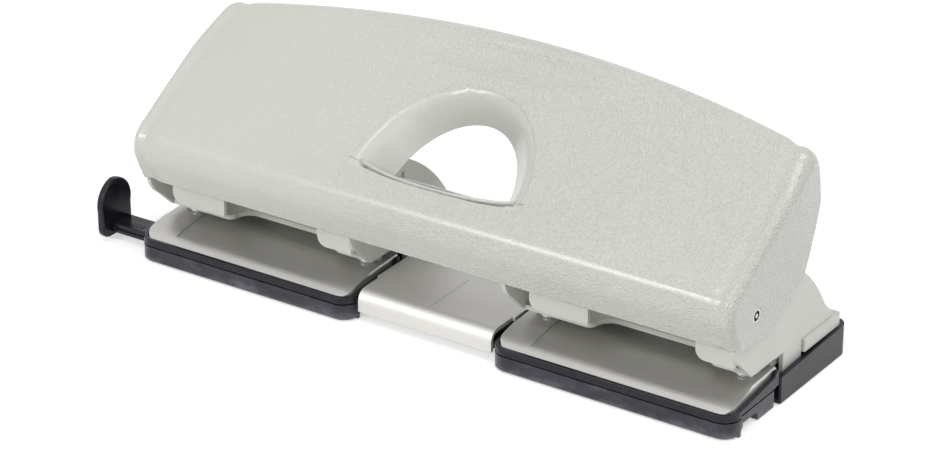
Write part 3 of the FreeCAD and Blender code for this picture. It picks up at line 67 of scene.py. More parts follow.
SLOPE_ANGLE = math.radians(32.8)
SLOPE_DEPTH = 19.2
SLOPE_HEIGHT = 66.1
UP_SLOPE = Vector((0, math.cos(SLOPE_ANGLE), math.sin(SLOPE_ANGLE)))
OUT_OF_SLOPE = Vector((0, -math.sin(SLOPE_ANGLE), math.cos(SLOPE_ANGLE)))


def on_slope(x, up_slope, drop):
    """A point measured up the lever's front slope and below its surface."""
    depth = SLOPE_DEPTH + up_slope * math.cos(SLOPE_ANGLE) + drop * math.sin(SLOPE_ANGLE)
    height = SLOPE_HEIGHT + up_slope * math.sin(SLOPE_ANGLE) - drop * math.cos(SLOPE_ANGLE)
    return at(x, depth, height)


# ---- Shader helpers ----

class Paint:
    """A new material with its node tree and short ways to add and join nodes."""

    def __init__(self, name, colour, roughness, metallic=0.0, coat=0.0, specular=0.5):
        self.material = bpy.data.materials.new(name)
        self.material.use_nodes = True
        self.tree = self.material.node_tree
        self.shader = self.tree.nodes["Principled BSDF"]
        self.shader.inputs["Base Color"].default_value = (*colour, 1)
        self.shader.inputs["Roughness"].default_value = roughness
        self.shader.inputs["Metallic"].default_value = metallic
        self.shader.inputs["Coat Weight"].default_value = coat
        self.shader.inputs["Specular IOR Level"].default_value = specular

    def node(self, kind, **settings):
        made = self.tree.nodes.new(kind)
        for key, value in settings.items():
            if key in made.inputs.keys():
                made.inputs[key].default_value = value
            else:
                setattr(made, key, value)
        return made

    def join(self, output, target):
        self.tree.links.new(output, target)

    def place(self, scale=(1, 1, 1)):
        """Object coordinates in millimetres, stretched by a scale."""
        coordinates = self.node("ShaderNodeTexCoord")
        mapping = self.node("ShaderNodeMapping")
        mapping.inputs["Scale"].default_value = [part / MM for part in scale]
        self.join(coordinates.outputs["Object"], mapping.inputs["Vector"])
        return mapping.outputs["Vector"]

    def noise(self, vector, scale, detail=2.0, roughness=0.5):
        texture = self.node("ShaderNodeTexNoise", Scale=scale, Detail=detail, Roughness=roughness)
        self.join(vector, texture.inputs["Vector"])
        return texture.outputs["Fac"]

    def step(self, value, start, end, low, high):
        """A value that goes smoothly from low to high while another goes from start to end."""
        spread = self.node("ShaderNodeMapRange")
        spread.interpolation_type = "SMOOTHSTEP"
        for name, number in (("From Min", start), ("From Max", end), ("To Min", low), ("To Max", high)):
            spread.inputs[name].default_value = number
        self.join(value, spread.inputs["Value"])
        return spread.outputs["Result"]

    def along(self, axis, start, end, low, high):
        """A value that goes from low to high between two places on one axis, in millimetres."""
        split = self.node("ShaderNodeSeparateXYZ")
        self.join(self.place(), split.inputs["Vector"])
        return self.step(split.outputs[axis], start, end, low, high)

    def product(self, *values):
        """All the given values multiplied together."""
        total = values[0]
        for value in values[1:]:
            times = self.node("ShaderNodeMath", operation="MULTIPLY")
            self.join(total, times.inputs[0])
            self.join(value, times.inputs[1])
            total = times.outputs["Value"]
        return total

    def slope_value(self, direction, start, end, low, high):
        """A step measured along a direction from the lever's reference point on its front slope."""
        origin = on_slope(0, 0, 0) / MM
        offset = self.node("ShaderNodeVectorMath", operation="SUBTRACT")
        self.join(self.place(), offset.inputs[0])
        offset.inputs[1].default_value = origin
        reach = self.node("ShaderNodeVectorMath", operation="DOT_PRODUCT")
        self.join(offset.outputs["Vector"], reach.inputs[0])
        reach.inputs[1].default_value = direction
        return self.step(reach.outputs["Value"], start, end, low, high)

    def ramp(self, factor, stops):
        """Colour ramp through (position, grey or colour) stops."""
        ramp = self.node("ShaderNodeValToRGB")
        elements = ramp.color_ramp.elements
        while len(elements) < len(stops):
            elements.new(0.5)
        for element, (position, colour) in zip(elements, stops):
            element.position = position
            element.color = (*colour, 1) if isinstance(colour, tuple) else (colour, colour, colour, 1)
        self.join(factor, ramp.inputs["Fac"])
        return ramp.outputs["Color"]

    def bump(self, height, strength, distance):
        """Surface relief from a height, its distance in millimetres."""
        bump = self.node("ShaderNodeBump", Strength=strength, Distance=distance * MM)
        self.join(height, bump.inputs["Height"])
        self.join(bump.outputs["Normal"], self.shader.inputs["Normal"])

    def blotches(self, colour, other, scale):
        """Slow, faint variation between two colours."""
        factor = self.noise(self.place(), scale, 3.0)
        self.join(self.ramp(factor, [(0.3, colour), (0.7, other)]), self.shader.inputs["Base Color"])

    def uneven_gloss(self, low, high, scale):
        """Roughness that drifts between two levels."""
        factor = self.noise(self.place(), scale, 4.0, 0.6)
        self.join(self.ramp(factor, [(0.3, low), (0.7, high)]), self.shader.inputs["Roughness"])


GRAIN_CELLS = 1.25
GRAIN_SOFTNESS = 0.45
FINE_GRAIN_SHARE = 0.45
GRAIN_RELIEF = 0.5
GRAIN_LEFT = 0.3
GRAIN_IN_LIP = 0.06


def grained_lever_paint():
    """Light warm grey coat with a leather grain, fainter at the left and nearly gone in the hand lip."""
    paint = Paint("grained_lever_paint", (0.62, 0.617, 0.575), 0.4, coat=0.75, specular=0.3)
    place = paint.place()
    cells = paint.node(
        "ShaderNodeTexVoronoi", feature="SMOOTH_F1", Scale=GRAIN_CELLS, Smoothness=GRAIN_SOFTNESS
    )
    paint.join(place, cells.inputs["Vector"])
    fine = paint.noise(place, 1.5, 2.0)
    grain = paint.node("ShaderNodeMath", operation="MULTIPLY_ADD")
    grain.inputs[1].default_value = FINE_GRAIN_SHARE
    paint.join(fine, grain.inputs[0])
    paint.join(cells.outputs["Distance"], grain.inputs[2])
    fade = paint.along(0, -110, 20, GRAIN_LEFT, 1.0)
    in_lip = paint.product(
        paint.slope_value(OUT_OF_SLOPE, -0.15, -0.9, 0, 1),
        paint.slope_value(UP_SLOPE, -13, -10, 0, 1),
        paint.slope_value(UP_SLOPE, 34, 36.5, 1, 0),
        paint.along(0, -40, -37, 0, 1),
        paint.along(0, 37, 40, 1, 0),
    )
    smooth = paint.step(in_lip, 0, 1, 1, GRAIN_IN_LIP)
    paint.bump(paint.product(grain.outputs["Value"], fade, smooth), 1.0, GRAIN_RELIEF)
    paint.blotches((0.61, 0.607, 0.565), (0.632, 0.629, 0.588), 0.02)
    paint.uneven_gloss(0.36, 0.46, 0.3)
    paint.shader.inputs["Coat Roughness"].default_value = 0.2
    return paint.material


def smooth_frame_paint():
    """The same grey, a shade lighter and with hardly any grain."""
    paint = Paint("smooth_frame_paint", (0.67, 0.67, 0.625), 0.34, specular=0.5)
    paint.blotches((0.655, 0.655, 0.61), (0.685, 0.685, 0.64), 0.05)
    paint.bump(paint.noise(paint.place(), 1.3, 2.0), 0.14, 0.06)
    paint.uneven_gloss(0.28, 0.38, 0.2)
    return paint.material


def satin_plate_paint(name, level, roughness):
    """Silvery satin coat, at a given brightness, on the base plates and the middle plate."""
    paint = Paint(name, (level, level * 0.986, level * 0.946), roughness, metallic=0.75)
    low = level * 0.975
    high = level * 1.02
    paint.blotches((low, low * 0.986, low * 0.946), (high, high * 0.986, high * 0.948), 0.03)
    paint.uneven_gloss(roughness - 0.02, roughness + 0.03, 0.04)
    paint.bump(paint.noise(paint.place((0.3, 1, 1)), 2.2, 2.0), 0.04, 0.02)
    return paint.material


def glossy_black_plastic():
    """Blue-black moulded plastic with a faintly uneven shine."""
    paint = Paint("glossy_black_plastic", (0.011, 0.011, 0.016), 0.2, specular=0.3)
    paint.uneven_gloss(0.16, 0.3, 0.12)
    paint.blotches((0.009, 0.009, 0.013), (0.016, 0.016, 0.024), 0.15)
    paint.bump(paint.noise(paint.place(), 0.5, 2.0), 0.10, 0.05)
    return paint.material


def smoked_plastic():
    """Smoked plastic in uneven clouds, lighter where light comes through the wall's lower edge."""
    paint = Paint("smoked_tray_plastic", (0.04, 0.04, 0.055), 0.18, specular=0.42)
    clouds = paint.noise(paint.place((0.45, 1, 1)), 0.2, 4.0, 0.65)
    lower = paint.along(2, 0.3, 5.0, 0.22, 0.0)
    total = paint.node("ShaderNodeMath", operation="ADD")
    paint.join(clouds, total.inputs[0])
    paint.join(lower, total.inputs[1])
    stops = [(0.38, (0.016, 0.016, 0.024)), (0.6, (0.042, 0.042, 0.058)), (0.82, (0.12, 0.125, 0.145))]
    paint.join(paint.ramp(total.outputs["Value"], stops), paint.shader.inputs["Base Color"])
    paint.uneven_gloss(0.14, 0.28, 0.1)
    paint.bump(paint.noise(paint.place(), 0.6, 2.0), 0.10, 0.05)
    return paint.material


def turned_steel():
    """Bright steel with fine rings from the lathe."""
    paint = Paint("turned_steel", (0.56, 0.56, 0.57), 0.28, metallic=1.0)
    paint.uneven_gloss(0.22, 0.36, 0.4)
    paint.bump(paint.noise(paint.place((1, 1, 8)), 1.5, 2.0), 0.06, 0.03)
    return paint.material


def matt_rubber():
    """Dull black rubber with a fine pebbled skin."""
    paint = Paint("matt_rubber", (0.025, 0.025, 0.025), 0.8, specular=0.3)
    paint.bump(paint.noise(paint.place(), 2.0, 3.0), 0.4, 0.1)
    paint.blotches((0.02, 0.02, 0.02), (0.034, 0.034, 0.034), 0.2)
    return paint.material


LEVER_PAINT = grained_lever_paint()
MIDDLE_PAINT = satin_plate_paint("bright_satin_plate_paint", 0.72, 0.5)
BLACK = glossy_black_plastic()
STEEL = turned_steel()

# ---- CAD forms, merged, with their edges softened ----

FINISHES = {
    "lever_paint": LEVER_PAINT,
    "frame_paint": smooth_frame_paint(),
    "plate_paint": satin_plate_paint("satin_plate_paint", 0.56, 0.38),
    "steel": STEEL,
    "black_plastic": BLACK,
    "smoked_plastic": smoked_plastic(),
    "rubber": matt_rubber(),
}
SLOTS = {part["node"]: part["material_slot"] for part in frame["record"]["subparts"]}
BODY_OF = {node: body for body, nodes in frame["record"]["behaviour"]["bodies"].items() for node in nodes}


JOINING_DISTANCE = 0.002
FLAT_ANGLE = math.radians(0.2)


def merged(node):
    """A CAD node's mesh as joined faces, ready to be worked on."""
    form = bmesh.new()
    form.from_mesh(frame["nodes"][node].data)
    bmesh.ops.remove_doubles(form, verts=form.verts, dist=JOINING_DISTANCE * MM)
    bmesh.ops.dissolve_limit(form, angle_limit=FLAT_ANGLE, verts=form.verts, edges=form.edges)
    return form


def dressed(node, form, width, crease=30, segments=2, material=None):
    """Turns worked faces into the piece that stands for a CAD node, its sharp edges rounded."""
    mesh = bpy.data.meshes.new(node + "_dressed")
    form.to_mesh(mesh)
    form.free()
    mesh.materials.append(material or FINISHES[SLOTS[node]])
    mesh.polygons.foreach_set("use_smooth", [True] * len(mesh.polygons))
    mesh.set_sharp_from_angle(angle=math.radians(crease))
    piece = bpy.data.objects.new(node + "_dressed", mesh)
    bpy.context.scene.collection.objects.link(piece)
    bevel = piece.modifiers.new("soft_edges", "BEVEL")
    bevel.width = width * MM
    bevel.segments = segments
    bevel.limit_method = "ANGLE"
    bevel.angle_limit = math.radians(crease)
    bevel.miter_outer = "MITER_ARC"
    bevel.use_clamp_overlap = True
    weigh = piece.modifiers.new("even_shading", "WEIGHTED_NORMAL")
    weigh.keep_sharp = True
    weigh.weight = 80
    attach(piece, BODY_OF[node])
    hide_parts(node)
    return piece


# ---- The lever, with the groove and bead that the press leaves inside each end ----

LEVER_HALF_LENGTH = 129.1
END_CURVE_RADIUS = 220.0
END_CURVE_START = 14.0
LEVER_CORE = (38.0, 40.0)
GROOVE_PLACE = 6.2
GROOVE_HALF_WIDTH = 2.4
GROOVE_DEPTH = 0.62
BEAD_PLACE = 2.8
BEAD_HALF_WIDTH = 1.3
BEAD_RISE = 0.14
RELIEF_REACH = (0.8, 20)
FACING_OUT = 0.3
LEVER_CUTS = 26
END_CUT_STEP = 0.9
BACK_CUT_STEP = 3.0


def end_setback(depth):
    """How far the lever's curved end stands in from its widest place."""
    run = max(0.0, depth - END_CURVE_START)
    return END_CURVE_RADIUS - math.sqrt(END_CURVE_RADIUS ** 2 - run ** 2)


def hump(distance, place, half_width):
    """One at a place, falling softly to none on both sides of it."""
    return math.exp(-((distance - place) / half_width) ** 2)


def cut_through(form, point, normal):
    """Adds a line of edges where a plane crosses the form."""
    everything = form.verts[:] + form.edges[:] + form.faces[:]
    bmesh.ops.bisect_plane(form, geom=everything, dist=0.001 * MM, plane_co=point, plane_no=normal)


def split_large_faces(form):
    """Cuts faces of five and more corners into triangles, so that moved corners bend no face."""
    bmesh.ops.triangulate(form, faces=[face for face in form.faces if len(face.verts) > 4])


def pressed_lever():
    """The lever's shell with a groove and a bead pressed along both ends, never past its front."""
    form = merged("lever")
    for step in range(LEVER_CUTS):
        for side in (-1, 1):
            cut_through(form, at(side * (LEVER_HALF_LENGTH - 1.0 - step * END_CUT_STEP), 0, 0), (1, 0, 0))
    for step in range(LEVER_CUTS):
        cut_through(form, at(0, 1 + step * BACK_CUT_STEP, 0), (0, 1, 0))
    split_large_faces(form)
    form.normal_update()
    front = min(vert.co.y for vert in form.verts)
    moves = []
    for vert in form.verts:
        x = abs(vert.co.x) / MM
        depth = vert.co.y / MM + BASE_DEPTH / 2
        height = vert.co.z / MM
        inwards = LEVER_HALF_LENGTH - end_setback(depth) - x
        outward = Vector((0, depth - LEVER_CORE[0], height - LEVER_CORE[1]))
        normal = vert.normal
        faces_in = outward.dot(normal) < FACING_OUT * outward.length
        if faces_in or not RELIEF_REACH[0] <= inwards <= RELIEF_REACH[1]:
            continue
        groove = GROOVE_DEPTH * hump(inwards, GROOVE_PLACE, GROOVE_HALF_WIDTH)
        bead = BEAD_RISE * hump(inwards, BEAD_PLACE, BEAD_HALF_WIDTH)
        moves.append((vert, normal * (bead - groove) * MM))
    for vert, move in moves:
        vert.co += move
        vert.co.y = max(vert.co.y, front)
    return form


dressed("lever", pressed_lever(), width=0.25)

# ---- The two base plates, with their pressed bends rounded ----

PLATE_FRONT = (1.9, 9.0)
PLATE_BROW = (4.4, 11.6)
PLATE_RAMP_END = (17.0, 14.6)
PLATE_SHEET = 2.0
PANEL_BACK = 26
BEND_SOFTNESS = 0.8
PLATE_CUTS = 26
PLATE_CUT_STEP = 0.8


def plate_top(depth, soft):
    """Height of a base plate's top at one depth, with sharp or with rounded bends."""
    nose = (PLATE_BROW[1] - PLATE_FRONT[1]) / (PLATE_BROW[0] - PLATE_FRONT[0])
    ramp = (PLATE_RAMP_END[1] - PLATE_BROW[1]) / (PLATE_RAMP_END[0] - PLATE_BROW[0])
    heights = (
        PLATE_FRONT[1] + nose * (depth - PLATE_FRONT[0]),
        PLATE_BROW[1] + ramp * (depth - PLATE_BROW[0]),
        PLATE_RAMP_END[1],
    )
    lowest = min(heights)
    if not soft:
        return lowest
    blend = sum(math.exp(BEND_SOFTNESS * (lowest - height)) for height in heights)
    return lowest - math.log(blend) / BEND_SOFTNESS


def rounded_base_plate(node):
    """A base plate whose front bends run softly into each other."""
    form = merged(node)
    for step in range(PLATE_CUTS):
        cut_through(form, at(0, PLATE_FRONT[0] + 0.35 + step * PLATE_CUT_STEP, 0), (0, 1, 0))
    split_large_faces(form)
    for vert in form.verts:
        depth = vert.co.y / MM + BASE_DEPTH / 2
        height = vert.co.z / MM
        below_sheet = height < plate_top(depth, False) - PLATE_SHEET - 0.9
        if depth < PLATE_FRONT[0] + 0.1 or depth > PANEL_BACK or below_sheet:
            continue
        vert.co.z += (plate_top(depth, True) - plate_top(depth, False)) * MM
    return form


for node in ("base_plate_left", "base_plate_right"):
    dressed(node, rounded_base_plate(node), width=0.25, crease=35)

# ---- The rolled edge along the front of the hand opening ----

FRONT_LIP_PLACES = (
    (-33.0, -8.2), (-27.0, -10.0), (-20.0, -11.0), (-13.0, -11.7), (0.0, -11.9),
    (10.0, -11.7), (18.0, -10.9), (24.0, -10.3), (30.0, -9.0), (33.0, -7.6),
)
FRONT_LIP_DROP = 2.3
FRONT_LIP_HALF_HEIGHT = 1.3
FRONT_LIP_HALF_THICKNESS = 0.7
FRONT_LIP_SIDES = 14


def front_lip():
    """Sheet edge rolled into a thin rounded lip, from one side of the opening to the other."""
    line = bpy.data.curves.new("front_lip_line", "CURVE")
    line.dimensions = "3D"
    line.resolution_u = 8
    spline = line.splines.new("NURBS")
    spline.points.add(len(FRONT_LIP_PLACES) - 1)
    for point, (x, up_slope) in zip(spline.points, FRONT_LIP_PLACES):
        point.co = (*on_slope(x, up_slope, FRONT_LIP_DROP), 1)
    spline.order_u = 4
    spline.use_endpoint_u = True
    guide = bpy.data.objects.new("front_lip_line", line)
    bpy.context.scene.collection.objects.link(guide)
    path = bpy.data.meshes.new_from_object(guide)
    points = [vert.co.copy() for vert in path.vertices]
    bpy.data.objects.remove(guide)
    form = bmesh.new()
    rings = []
    for number, point in enumerate(points):
        before = points[max(number - 1, 0)]
        after = points[min(number + 1, len(points) - 1)]
        across = (after - before).normalized().cross(OUT_OF_SLOPE).normalized()
        ring = []
        for side in range(FRONT_LIP_SIDES):
            angle = 2 * math.pi * side / FRONT_LIP_SIDES
            offset = across * math.cos(angle) * FRONT_LIP_HALF_THICKNESS
            offset += OUT_OF_SLOPE * math.sin(angle) * FRONT_LIP_HALF_HEIGHT
            ring.append(form.verts.new(point + offset * MM))
        rings.append(ring)
    for first, second in zip(rings, rings[1:]):
        for side in range(FRONT_LIP_SIDES):
            following = (side + 1) % FRONT_LIP_SIDES
            form.faces.new((first[side], first[following], second[following], second[side]))
    form.faces.new(rings[0])
    form.faces.new(rings[-1])
    bmesh.ops.recalc_face_normals(form, faces=form.faces)
    mesh = bpy.data.meshes.new("front_lip")
    form.to_mesh(mesh)
    form.free()
    mesh.materials.append(LEVER_PAINT)
    mesh.polygons.foreach_set("use_smooth", [True] * len(mesh.polygons))
    lip = bpy.data.objects.new("front_lip", mesh)
    bpy.context.scene.collection.objects.link(lip)
    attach(lip, "lever")


front_lip()

# ---- Pieces that repeat, from node trees ----


class Recipe:
    """A geometry node tree with named sizes, made into a plain mesh when it is done."""

    def __init__(self, name):
        self.tree = bpy.data.node_groups.new(name, "GeometryNodeTree")
        self.tree.interface.new_socket("Shape", in_out="OUTPUT", socket_type="NodeSocketGeometry")
        self.sizes = self.tree.nodes.new("NodeGroupInput")
        self.result = self.tree.nodes.new("NodeGroupOutput")
        self.given = {}

    def size(self, name, value, kind="NodeSocketFloat"):
        """Adds a named input and returns the socket that gives it."""
        socket = self.tree.interface.new_socket(name, in_out="INPUT", socket_type=kind)
        self.given[socket.identifier] = value
        return self.sizes.outputs[name]

    def node(self, kind, joins=None, **settings):
        made = self.tree.nodes.new(kind)
        for key, value in settings.items():
            setattr(made, key, value)
        for key, value in (joins or {}).items():
            if isinstance(value, bpy.types.NodeSocket):
                self.tree.links.new(value, made.inputs[key])
            else:
                made.inputs[key].default_value = value
        return made

    def finish(self, shape, material, name, smooth=True):
        """Ends the tree, evaluates it, and returns a plain object at the origin."""
        shaded = self.node("GeometryNodeSetShadeSmooth", {"Geometry": shape, "Shade Smooth": smooth})
        realized = self.node("GeometryNodeRealizeInstances", {"Geometry": shaded.outputs[0]})
        painted = self.node("GeometryNodeSetMaterial", {
            "Geometry": realized.outputs[0], "Material": material})
        self.tree.links.new(painted.outputs[0], self.result.inputs["Shape"])
        host = bpy.data.objects.new(name + "_host", bpy.data.meshes.new(name + "_host"))
        bpy.context.scene.collection.objects.link(host)
        modifier = host.modifiers.new("recipe", "NODES")
        modifier.node_group = self.tree
        for identifier, value in self.given.items():
            modifier[identifier] = value
        depsgraph = bpy.context.evaluated_depsgraph_get()
        mesh = bpy.data.meshes.new_from_object(host.evaluated_get(depsgraph), depsgraph=depsgraph)
        bpy.data.objects.remove(host)
        mesh.name = name
        if not mesh.materials:
            mesh.materials.append(material)
        piece = bpy.data.objects.new(name, mesh)
        bpy.context.scene.collection.objects.link(piece)
        return piece


PUNCH_DEPTH = 26.5
SPRING_FOOT = 19.5
SPRING_WIRE = 0.8
SPRING_TURNS = 5.0


def coil_spring(number):
    """Compression spring round a punch: five turns of round wire."""
    low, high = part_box("spring_%d" % number)
    wire = SPRING_WIRE * MM / 2
    recipe = Recipe("coil_spring")
    turns = recipe.size("Turns", SPRING_TURNS)
    radius = recipe.size("Coil Radius", (high[0] - low[0]) / 2 - wire * 1.02)
    rise = recipe.size("Rise", high[2] - low[2] - 2.2 * wire)
    thickness = recipe.size("Wire Radius", wire)
    seat = at(PUNCH_X[number - 1], PUNCH_DEPTH, SPRING_FOOT) + Vector((0, 0, 1.1 * wire))
    foot = recipe.size("Foot", tuple(seat), "NodeSocketVector")
    line = recipe.node("GeometryNodeCurveSpiral", {
        "Resolution": 28, "Rotations": turns, "Start Radius": radius, "End Radius": radius, "Height": rise})
    ring = recipe.node("GeometryNodeCurvePrimitiveCircle", {"Resolution": 10, "Radius": thickness})
    coil = recipe.node("GeometryNodeCurveToMesh", {
        "Curve": line.outputs[0], "Profile Curve": ring.outputs[0], "Fill Caps": True})
    placed = recipe.node("GeometryNodeTransform", {"Geometry": coil.outputs[0], "Translation": foot})
    spring = recipe.finish(placed.outputs[0], STEEL, "spring_%d_coil" % number)
    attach(spring, "base")
    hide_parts("spring_%d" % number)
    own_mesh(spring)


for number in range(1, 5):
    coil_spring(number)

GUIDE_TOP = 7.3
FIRST_TICK = (-146.0, 15.9)
NUMBER_PLACE = (-141.0, 9.6)
NUMBER_SUNK = 0.02
MARK_RELIEF = 0.14


def guide_marks():
    """Raised ticks and the plain spacing number on top of the side guide's bar."""
    recipe = Recipe("guide_marks")
    count = recipe.size("Ticks", 7, "NodeSocketInt")
    pitch = recipe.size("Pitch", 1.5 * MM)
    long_side = recipe.size("Tick Length", 2.2 * MM)
    relief = recipe.size("Relief", MARK_RELIEF * MM)
    words = recipe.size("Number", "888", "NodeSocketString")
    step = recipe.node("ShaderNodeCombineXYZ", {"X": pitch})
    row = recipe.node("GeometryNodeMeshLine", {"Count": count, "Offset": step.outputs[0]}, mode="OFFSET")
    size = recipe.node("ShaderNodeCombineXYZ", {"X": 0.35 * MM, "Y": long_side, "Z": relief})
    tick = recipe.node("GeometryNodeMeshCube", {"Size": size.outputs[0]})
    ticks = recipe.node("GeometryNodeInstanceOnPoints", {
        "Points": row.outputs[0], "Instance": tick.outputs[0]})
    ticks_placed = recipe.node("GeometryNodeTransform", {
        "Geometry": ticks.outputs[0], "Translation": tuple(at(*FIRST_TICK, GUIDE_TOP))})
    letters = recipe.node("GeometryNodeStringToCurves", {"String": words, "Size": 4.2 * MM})
    filled = recipe.node("GeometryNodeFillCurve", {"Curve": letters.outputs[0]})
    solid = recipe.node("GeometryNodeExtrudeMesh", {
        "Mesh": filled.outputs[0], "Offset Scale": MARK_RELIEF * MM})
    placed = recipe.node("GeometryNodeTransform", {
        "Geometry": solid.outputs[0], "Translation": tuple(at(*NUMBER_PLACE, GUIDE_TOP - NUMBER_SUNK))})
    both = recipe.node("GeometryNodeJoinGeometry")
    recipe.tree.links.new(ticks_placed.outputs[0], both.inputs[0])
    recipe.tree.links.new(placed.outputs[0], both.inputs[0])
    marks = recipe.finish(both.outputs[0], BLACK, "guide_marks", smooth=False)
    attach(marks, "side_guide")


guide_marks()

SCREW_PLACES = [(centre + side * 30.0, 46.35) for centre in UNIT_CENTRES for side in (-1, 1)]
SCREW_HEAD_LOW = 0.4
SCREW_HEAD_THICKNESS = 1.1
SCREW_TOP = 5.0
SHANK_LOW = SCREW_HEAD_LOW + 0.1
SLOT_DEPTH = 0.6


def tie_screws():
    """Slotted screws that hold the frames and the tie strip to the foot."""
    recipe = Recipe("tie_screw")
    head_radius = recipe.size("Head Radius", 3.4 * MM)
    head_thickness = recipe.size("Head Thickness", SCREW_HEAD_THICKNESS * MM)
    shank_radius = recipe.size("Shank Radius", 2.0 * MM)
    shank_length = recipe.size("Shank Length", (SCREW_TOP - SHANK_LOW) * MM)
    slot_width = recipe.size("Slot Width", 0.9 * MM)
    head = recipe.node("GeometryNodeMeshCylinder", {
        "Vertices": 40, "Radius": head_radius, "Depth": head_thickness})
    head_middle = SCREW_HEAD_LOW + SCREW_HEAD_THICKNESS / 2
    head_placed = recipe.node("GeometryNodeTransform", {
        "Geometry": head.outputs["Mesh"], "Translation": (0, 0, head_middle * MM)})
    slot_size = recipe.node("ShaderNodeCombineXYZ", {"X": 8 * MM, "Y": slot_width, "Z": 2 * SLOT_DEPTH * MM})
    cutter = recipe.node("GeometryNodeMeshCube", {"Size": slot_size.outputs[0]})
    cutter_placed = recipe.node("GeometryNodeTransform", {
        "Geometry": cutter.outputs["Mesh"], "Translation": (0, 0, SCREW_HEAD_LOW * MM)})
    slotted = recipe.node("GeometryNodeMeshBoolean", {
        "Mesh 1": head_placed.outputs[0]}, operation="DIFFERENCE")
    recipe.tree.links.new(cutter_placed.outputs[0], slotted.inputs["Mesh 2"])
    shank = recipe.node("GeometryNodeMeshCylinder", {
        "Vertices": 32, "Radius": shank_radius, "Depth": shank_length})
    shank_placed = recipe.node("GeometryNodeTransform", {
        "Geometry": shank.outputs["Mesh"], "Translation": (0, 0, (SCREW_TOP + SHANK_LOW) / 2 * MM),
        "Rotation": (0, 0, 0.4)})
    screw = recipe.node("GeometryNodeJoinGeometry")
    recipe.tree.links.new(slotted.outputs[0], screw.inputs[0])
    recipe.tree.links.new(shank_placed.outputs[0], screw.inputs[0])
    spots = recipe.node("GeometryNodeJoinGeometry")
    for number, (x, depth) in enumerate(SCREW_PLACES):
        spot = recipe.node("GeometryNodeMeshLine", {"Count": 1, "Start Location": tuple(at(x, depth, 0))})
        turned = recipe.node("GeometryNodeInstanceOnPoints", {
            "Points": spot.outputs[0], "Instance": screw.outputs[0], "Rotation": (0, 0, 0.5 + 0.8 * number)})
        recipe.tree.links.new(turned.outputs[0], spots.inputs[0])
    screws = recipe.finish(spots.outputs[0], STEEL, "tie_screws_slotted", smooth=False)
    screws.data.set_sharp_from_angle(angle=math.radians(30))
    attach(screws, "base")
    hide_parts("tie_screws")


tie_screws()

# ---- The other pieces, with their edges rounded ----

DONE = {"lever", "base_plate_left", "base_plate_right", "tie_screws"}
DONE |= {"spring_%d" % number for number in range(1, 5)}
USUAL_ROUND = 0.25
WIDE_ROUND = 0.4
EDGE_ROUNDS = {"steel": 0.15, "black_plastic": 0.3, "smoked_plastic": 0.3}
OWN_ROUNDS = {"stop_plate": 0.75, "trim_left": 0.5, "trim_right": 0.5, "foot": 0.45}
for node in sorted(frame["nodes"]):
    if node in DONE:
        continue
    width = OWN_ROUNDS.get(node, EDGE_ROUNDS.get(SLOTS[node], USUAL_ROUND))
    own_finish = MIDDLE_PAINT if node == "middle_plate" else None
    dressed(node, merged(node), width, segments=3 if width > WIDE_ROUND else 2, material=own_finish)

# ---- Camera, lights, floor ----

CAMERA_PLACE = (588.6, -830.4, 526.7)
CAMERA_AIM = (0, 40, 40)

camera_data = bpy.data.cameras.new("camera")
camera_data.lens = 121.48
camera_data.sensor_width = 36
camera_data.shift_x = -0.00729
camera_data.shift_y = -0.02218
camera_data.clip_start = 0.05
camera_data.clip_end = 30
camera = bpy.data.objects.new("camera", camera_data)
camera.location = at(*CAMERA_PLACE)
camera.rotation_mode = "QUATERNION"
camera.rotation_quaternion = (at(*CAMERA_AIM) - camera.location).to_track_quat("-Z", "Y")
bpy.context.scene.collection.objects.link(camera)
bpy.context.scene.camera = camera


def soft_lamp(name, place, aim, width, height, power):
    """A rectangular lamp at a place in metres, turned to what it lights."""
    data = bpy.data.lights.new(name, "AREA")
    data.shape = "RECTANGLE"
    data.size = width
    data.size_y = height
    data.energy = power
    lamp = bpy.data.objects.new(name, data)
    lamp.location = place
    lamp.rotation_mode = "QUATERNION"
    lamp.rotation_quaternion = (Vector(aim) - Vector(place)).to_track_quat("-Z", "Y")
    bpy.context.scene.collection.objects.link(lamp)


soft_lamp("lamp_key", (-0.46, -1.38, 0.86), (0.08, 0, 0.04), 0.9, 0.24, 9.8)
soft_lamp("lamp_over", (0.08, -0.42, 1.05), (0.04, 0, 0.05), 0.34, 0.34, 1.7)
soft_lamp("lamp_right", (1.15, -0.62, 0.7), (0, 0, 0.03), 0.7, 0.7, 2.4)
soft_lamp("lamp_back", (0.45, 0.3, 0.8), (0.1, 0, 0.05), 0.4, 0.4, 2.6)

SEEN_BY = ("Is Camera Ray", "Is Glossy Ray", "Is Transmission Ray")
FLOOR_REACH = 6.0
FLOOR_LIFT = 0.5
WORLD_LIGHT = 0.36
WORLD_SEEN = 1.0


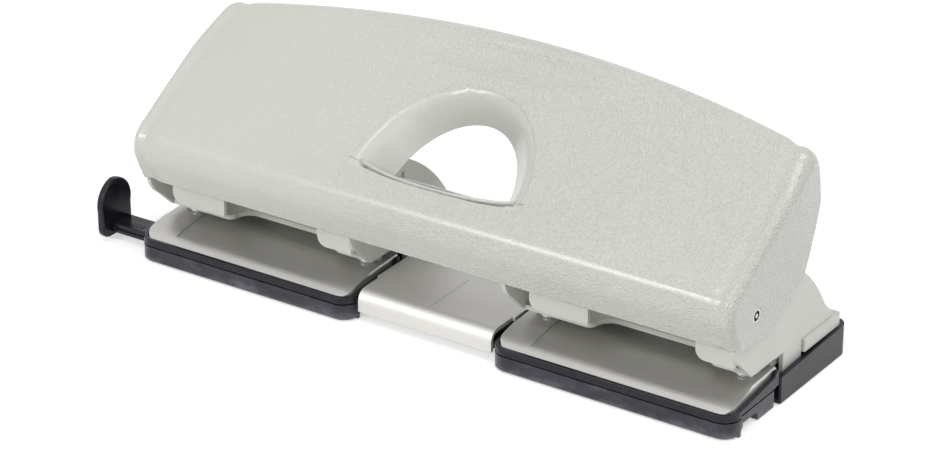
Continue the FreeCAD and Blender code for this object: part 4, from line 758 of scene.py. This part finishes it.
def seen_directly(tree):
    """One where the camera, a reflection or a clear wall looks at the backdrop, otherwise none."""
    rays = tree.nodes.new("ShaderNodeLightPath")
    total = rays.outputs[SEEN_BY[0]]
    for name in SEEN_BY[1:]:
        most = tree.nodes.new("ShaderNodeMath")
        most.operation = "MAXIMUM"
        tree.links.new(total, most.inputs[0])
        tree.links.new(rays.outputs[name], most.inputs[1])
        total = most.outputs["Value"]
    return total


def pale_floor():
    """White floor that keeps a light shadow under the object."""
    material = bpy.data.materials.new("pale_floor")
    material.use_nodes = True
    tree = material.node_tree
    shader = tree.nodes["Principled BSDF"]
    shader.inputs["Base Color"].default_value = (0.85, 0.85, 0.85, 1)
    shader.inputs["Roughness"].default_value = 0.9
    shader.inputs["Specular IOR Level"].default_value = 0.0
    shader.inputs["Emission Color"].default_value = (1, 1, 1, 1)
    lift = tree.nodes.new("ShaderNodeMath")
    lift.operation = "MULTIPLY"
    lift.inputs[1].default_value = FLOOR_LIFT
    tree.links.new(seen_directly(tree), lift.inputs[0])
    tree.links.new(lift.outputs["Value"], shader.inputs["Emission Strength"])
    return material


floor_mesh = bpy.data.meshes.new("floor")
corners = [(x * FLOOR_REACH, y * FLOOR_REACH, 0) for x, y in ((-1, -1), (1, -1), (1, 1), (-1, 1))]
floor_mesh.from_pydata(corners, [], [(0, 1, 2, 3)])
floor_mesh.materials.append(pale_floor())
floor = bpy.data.objects.new("floor", floor_mesh)
bpy.context.scene.collection.objects.link(floor)

world = bpy.data.worlds.new("studio")
bpy.context.scene.world = world
world.use_nodes = True
world_tree = world.node_tree
background = world_tree.nodes["Background"]
background.inputs["Color"].default_value = (1, 1, 1, 1)
strength = world_tree.nodes.new("ShaderNodeMapRange")
strength.inputs["To Min"].default_value = WORLD_LIGHT
strength.inputs["To Max"].default_value = WORLD_SEEN
world_tree.links.new(seen_directly(world_tree), strength.inputs["Value"])
world_tree.links.new(strength.outputs["Result"], background.inputs["Strength"])

bpy.context.scene.view_settings.view_transform = "Standard"
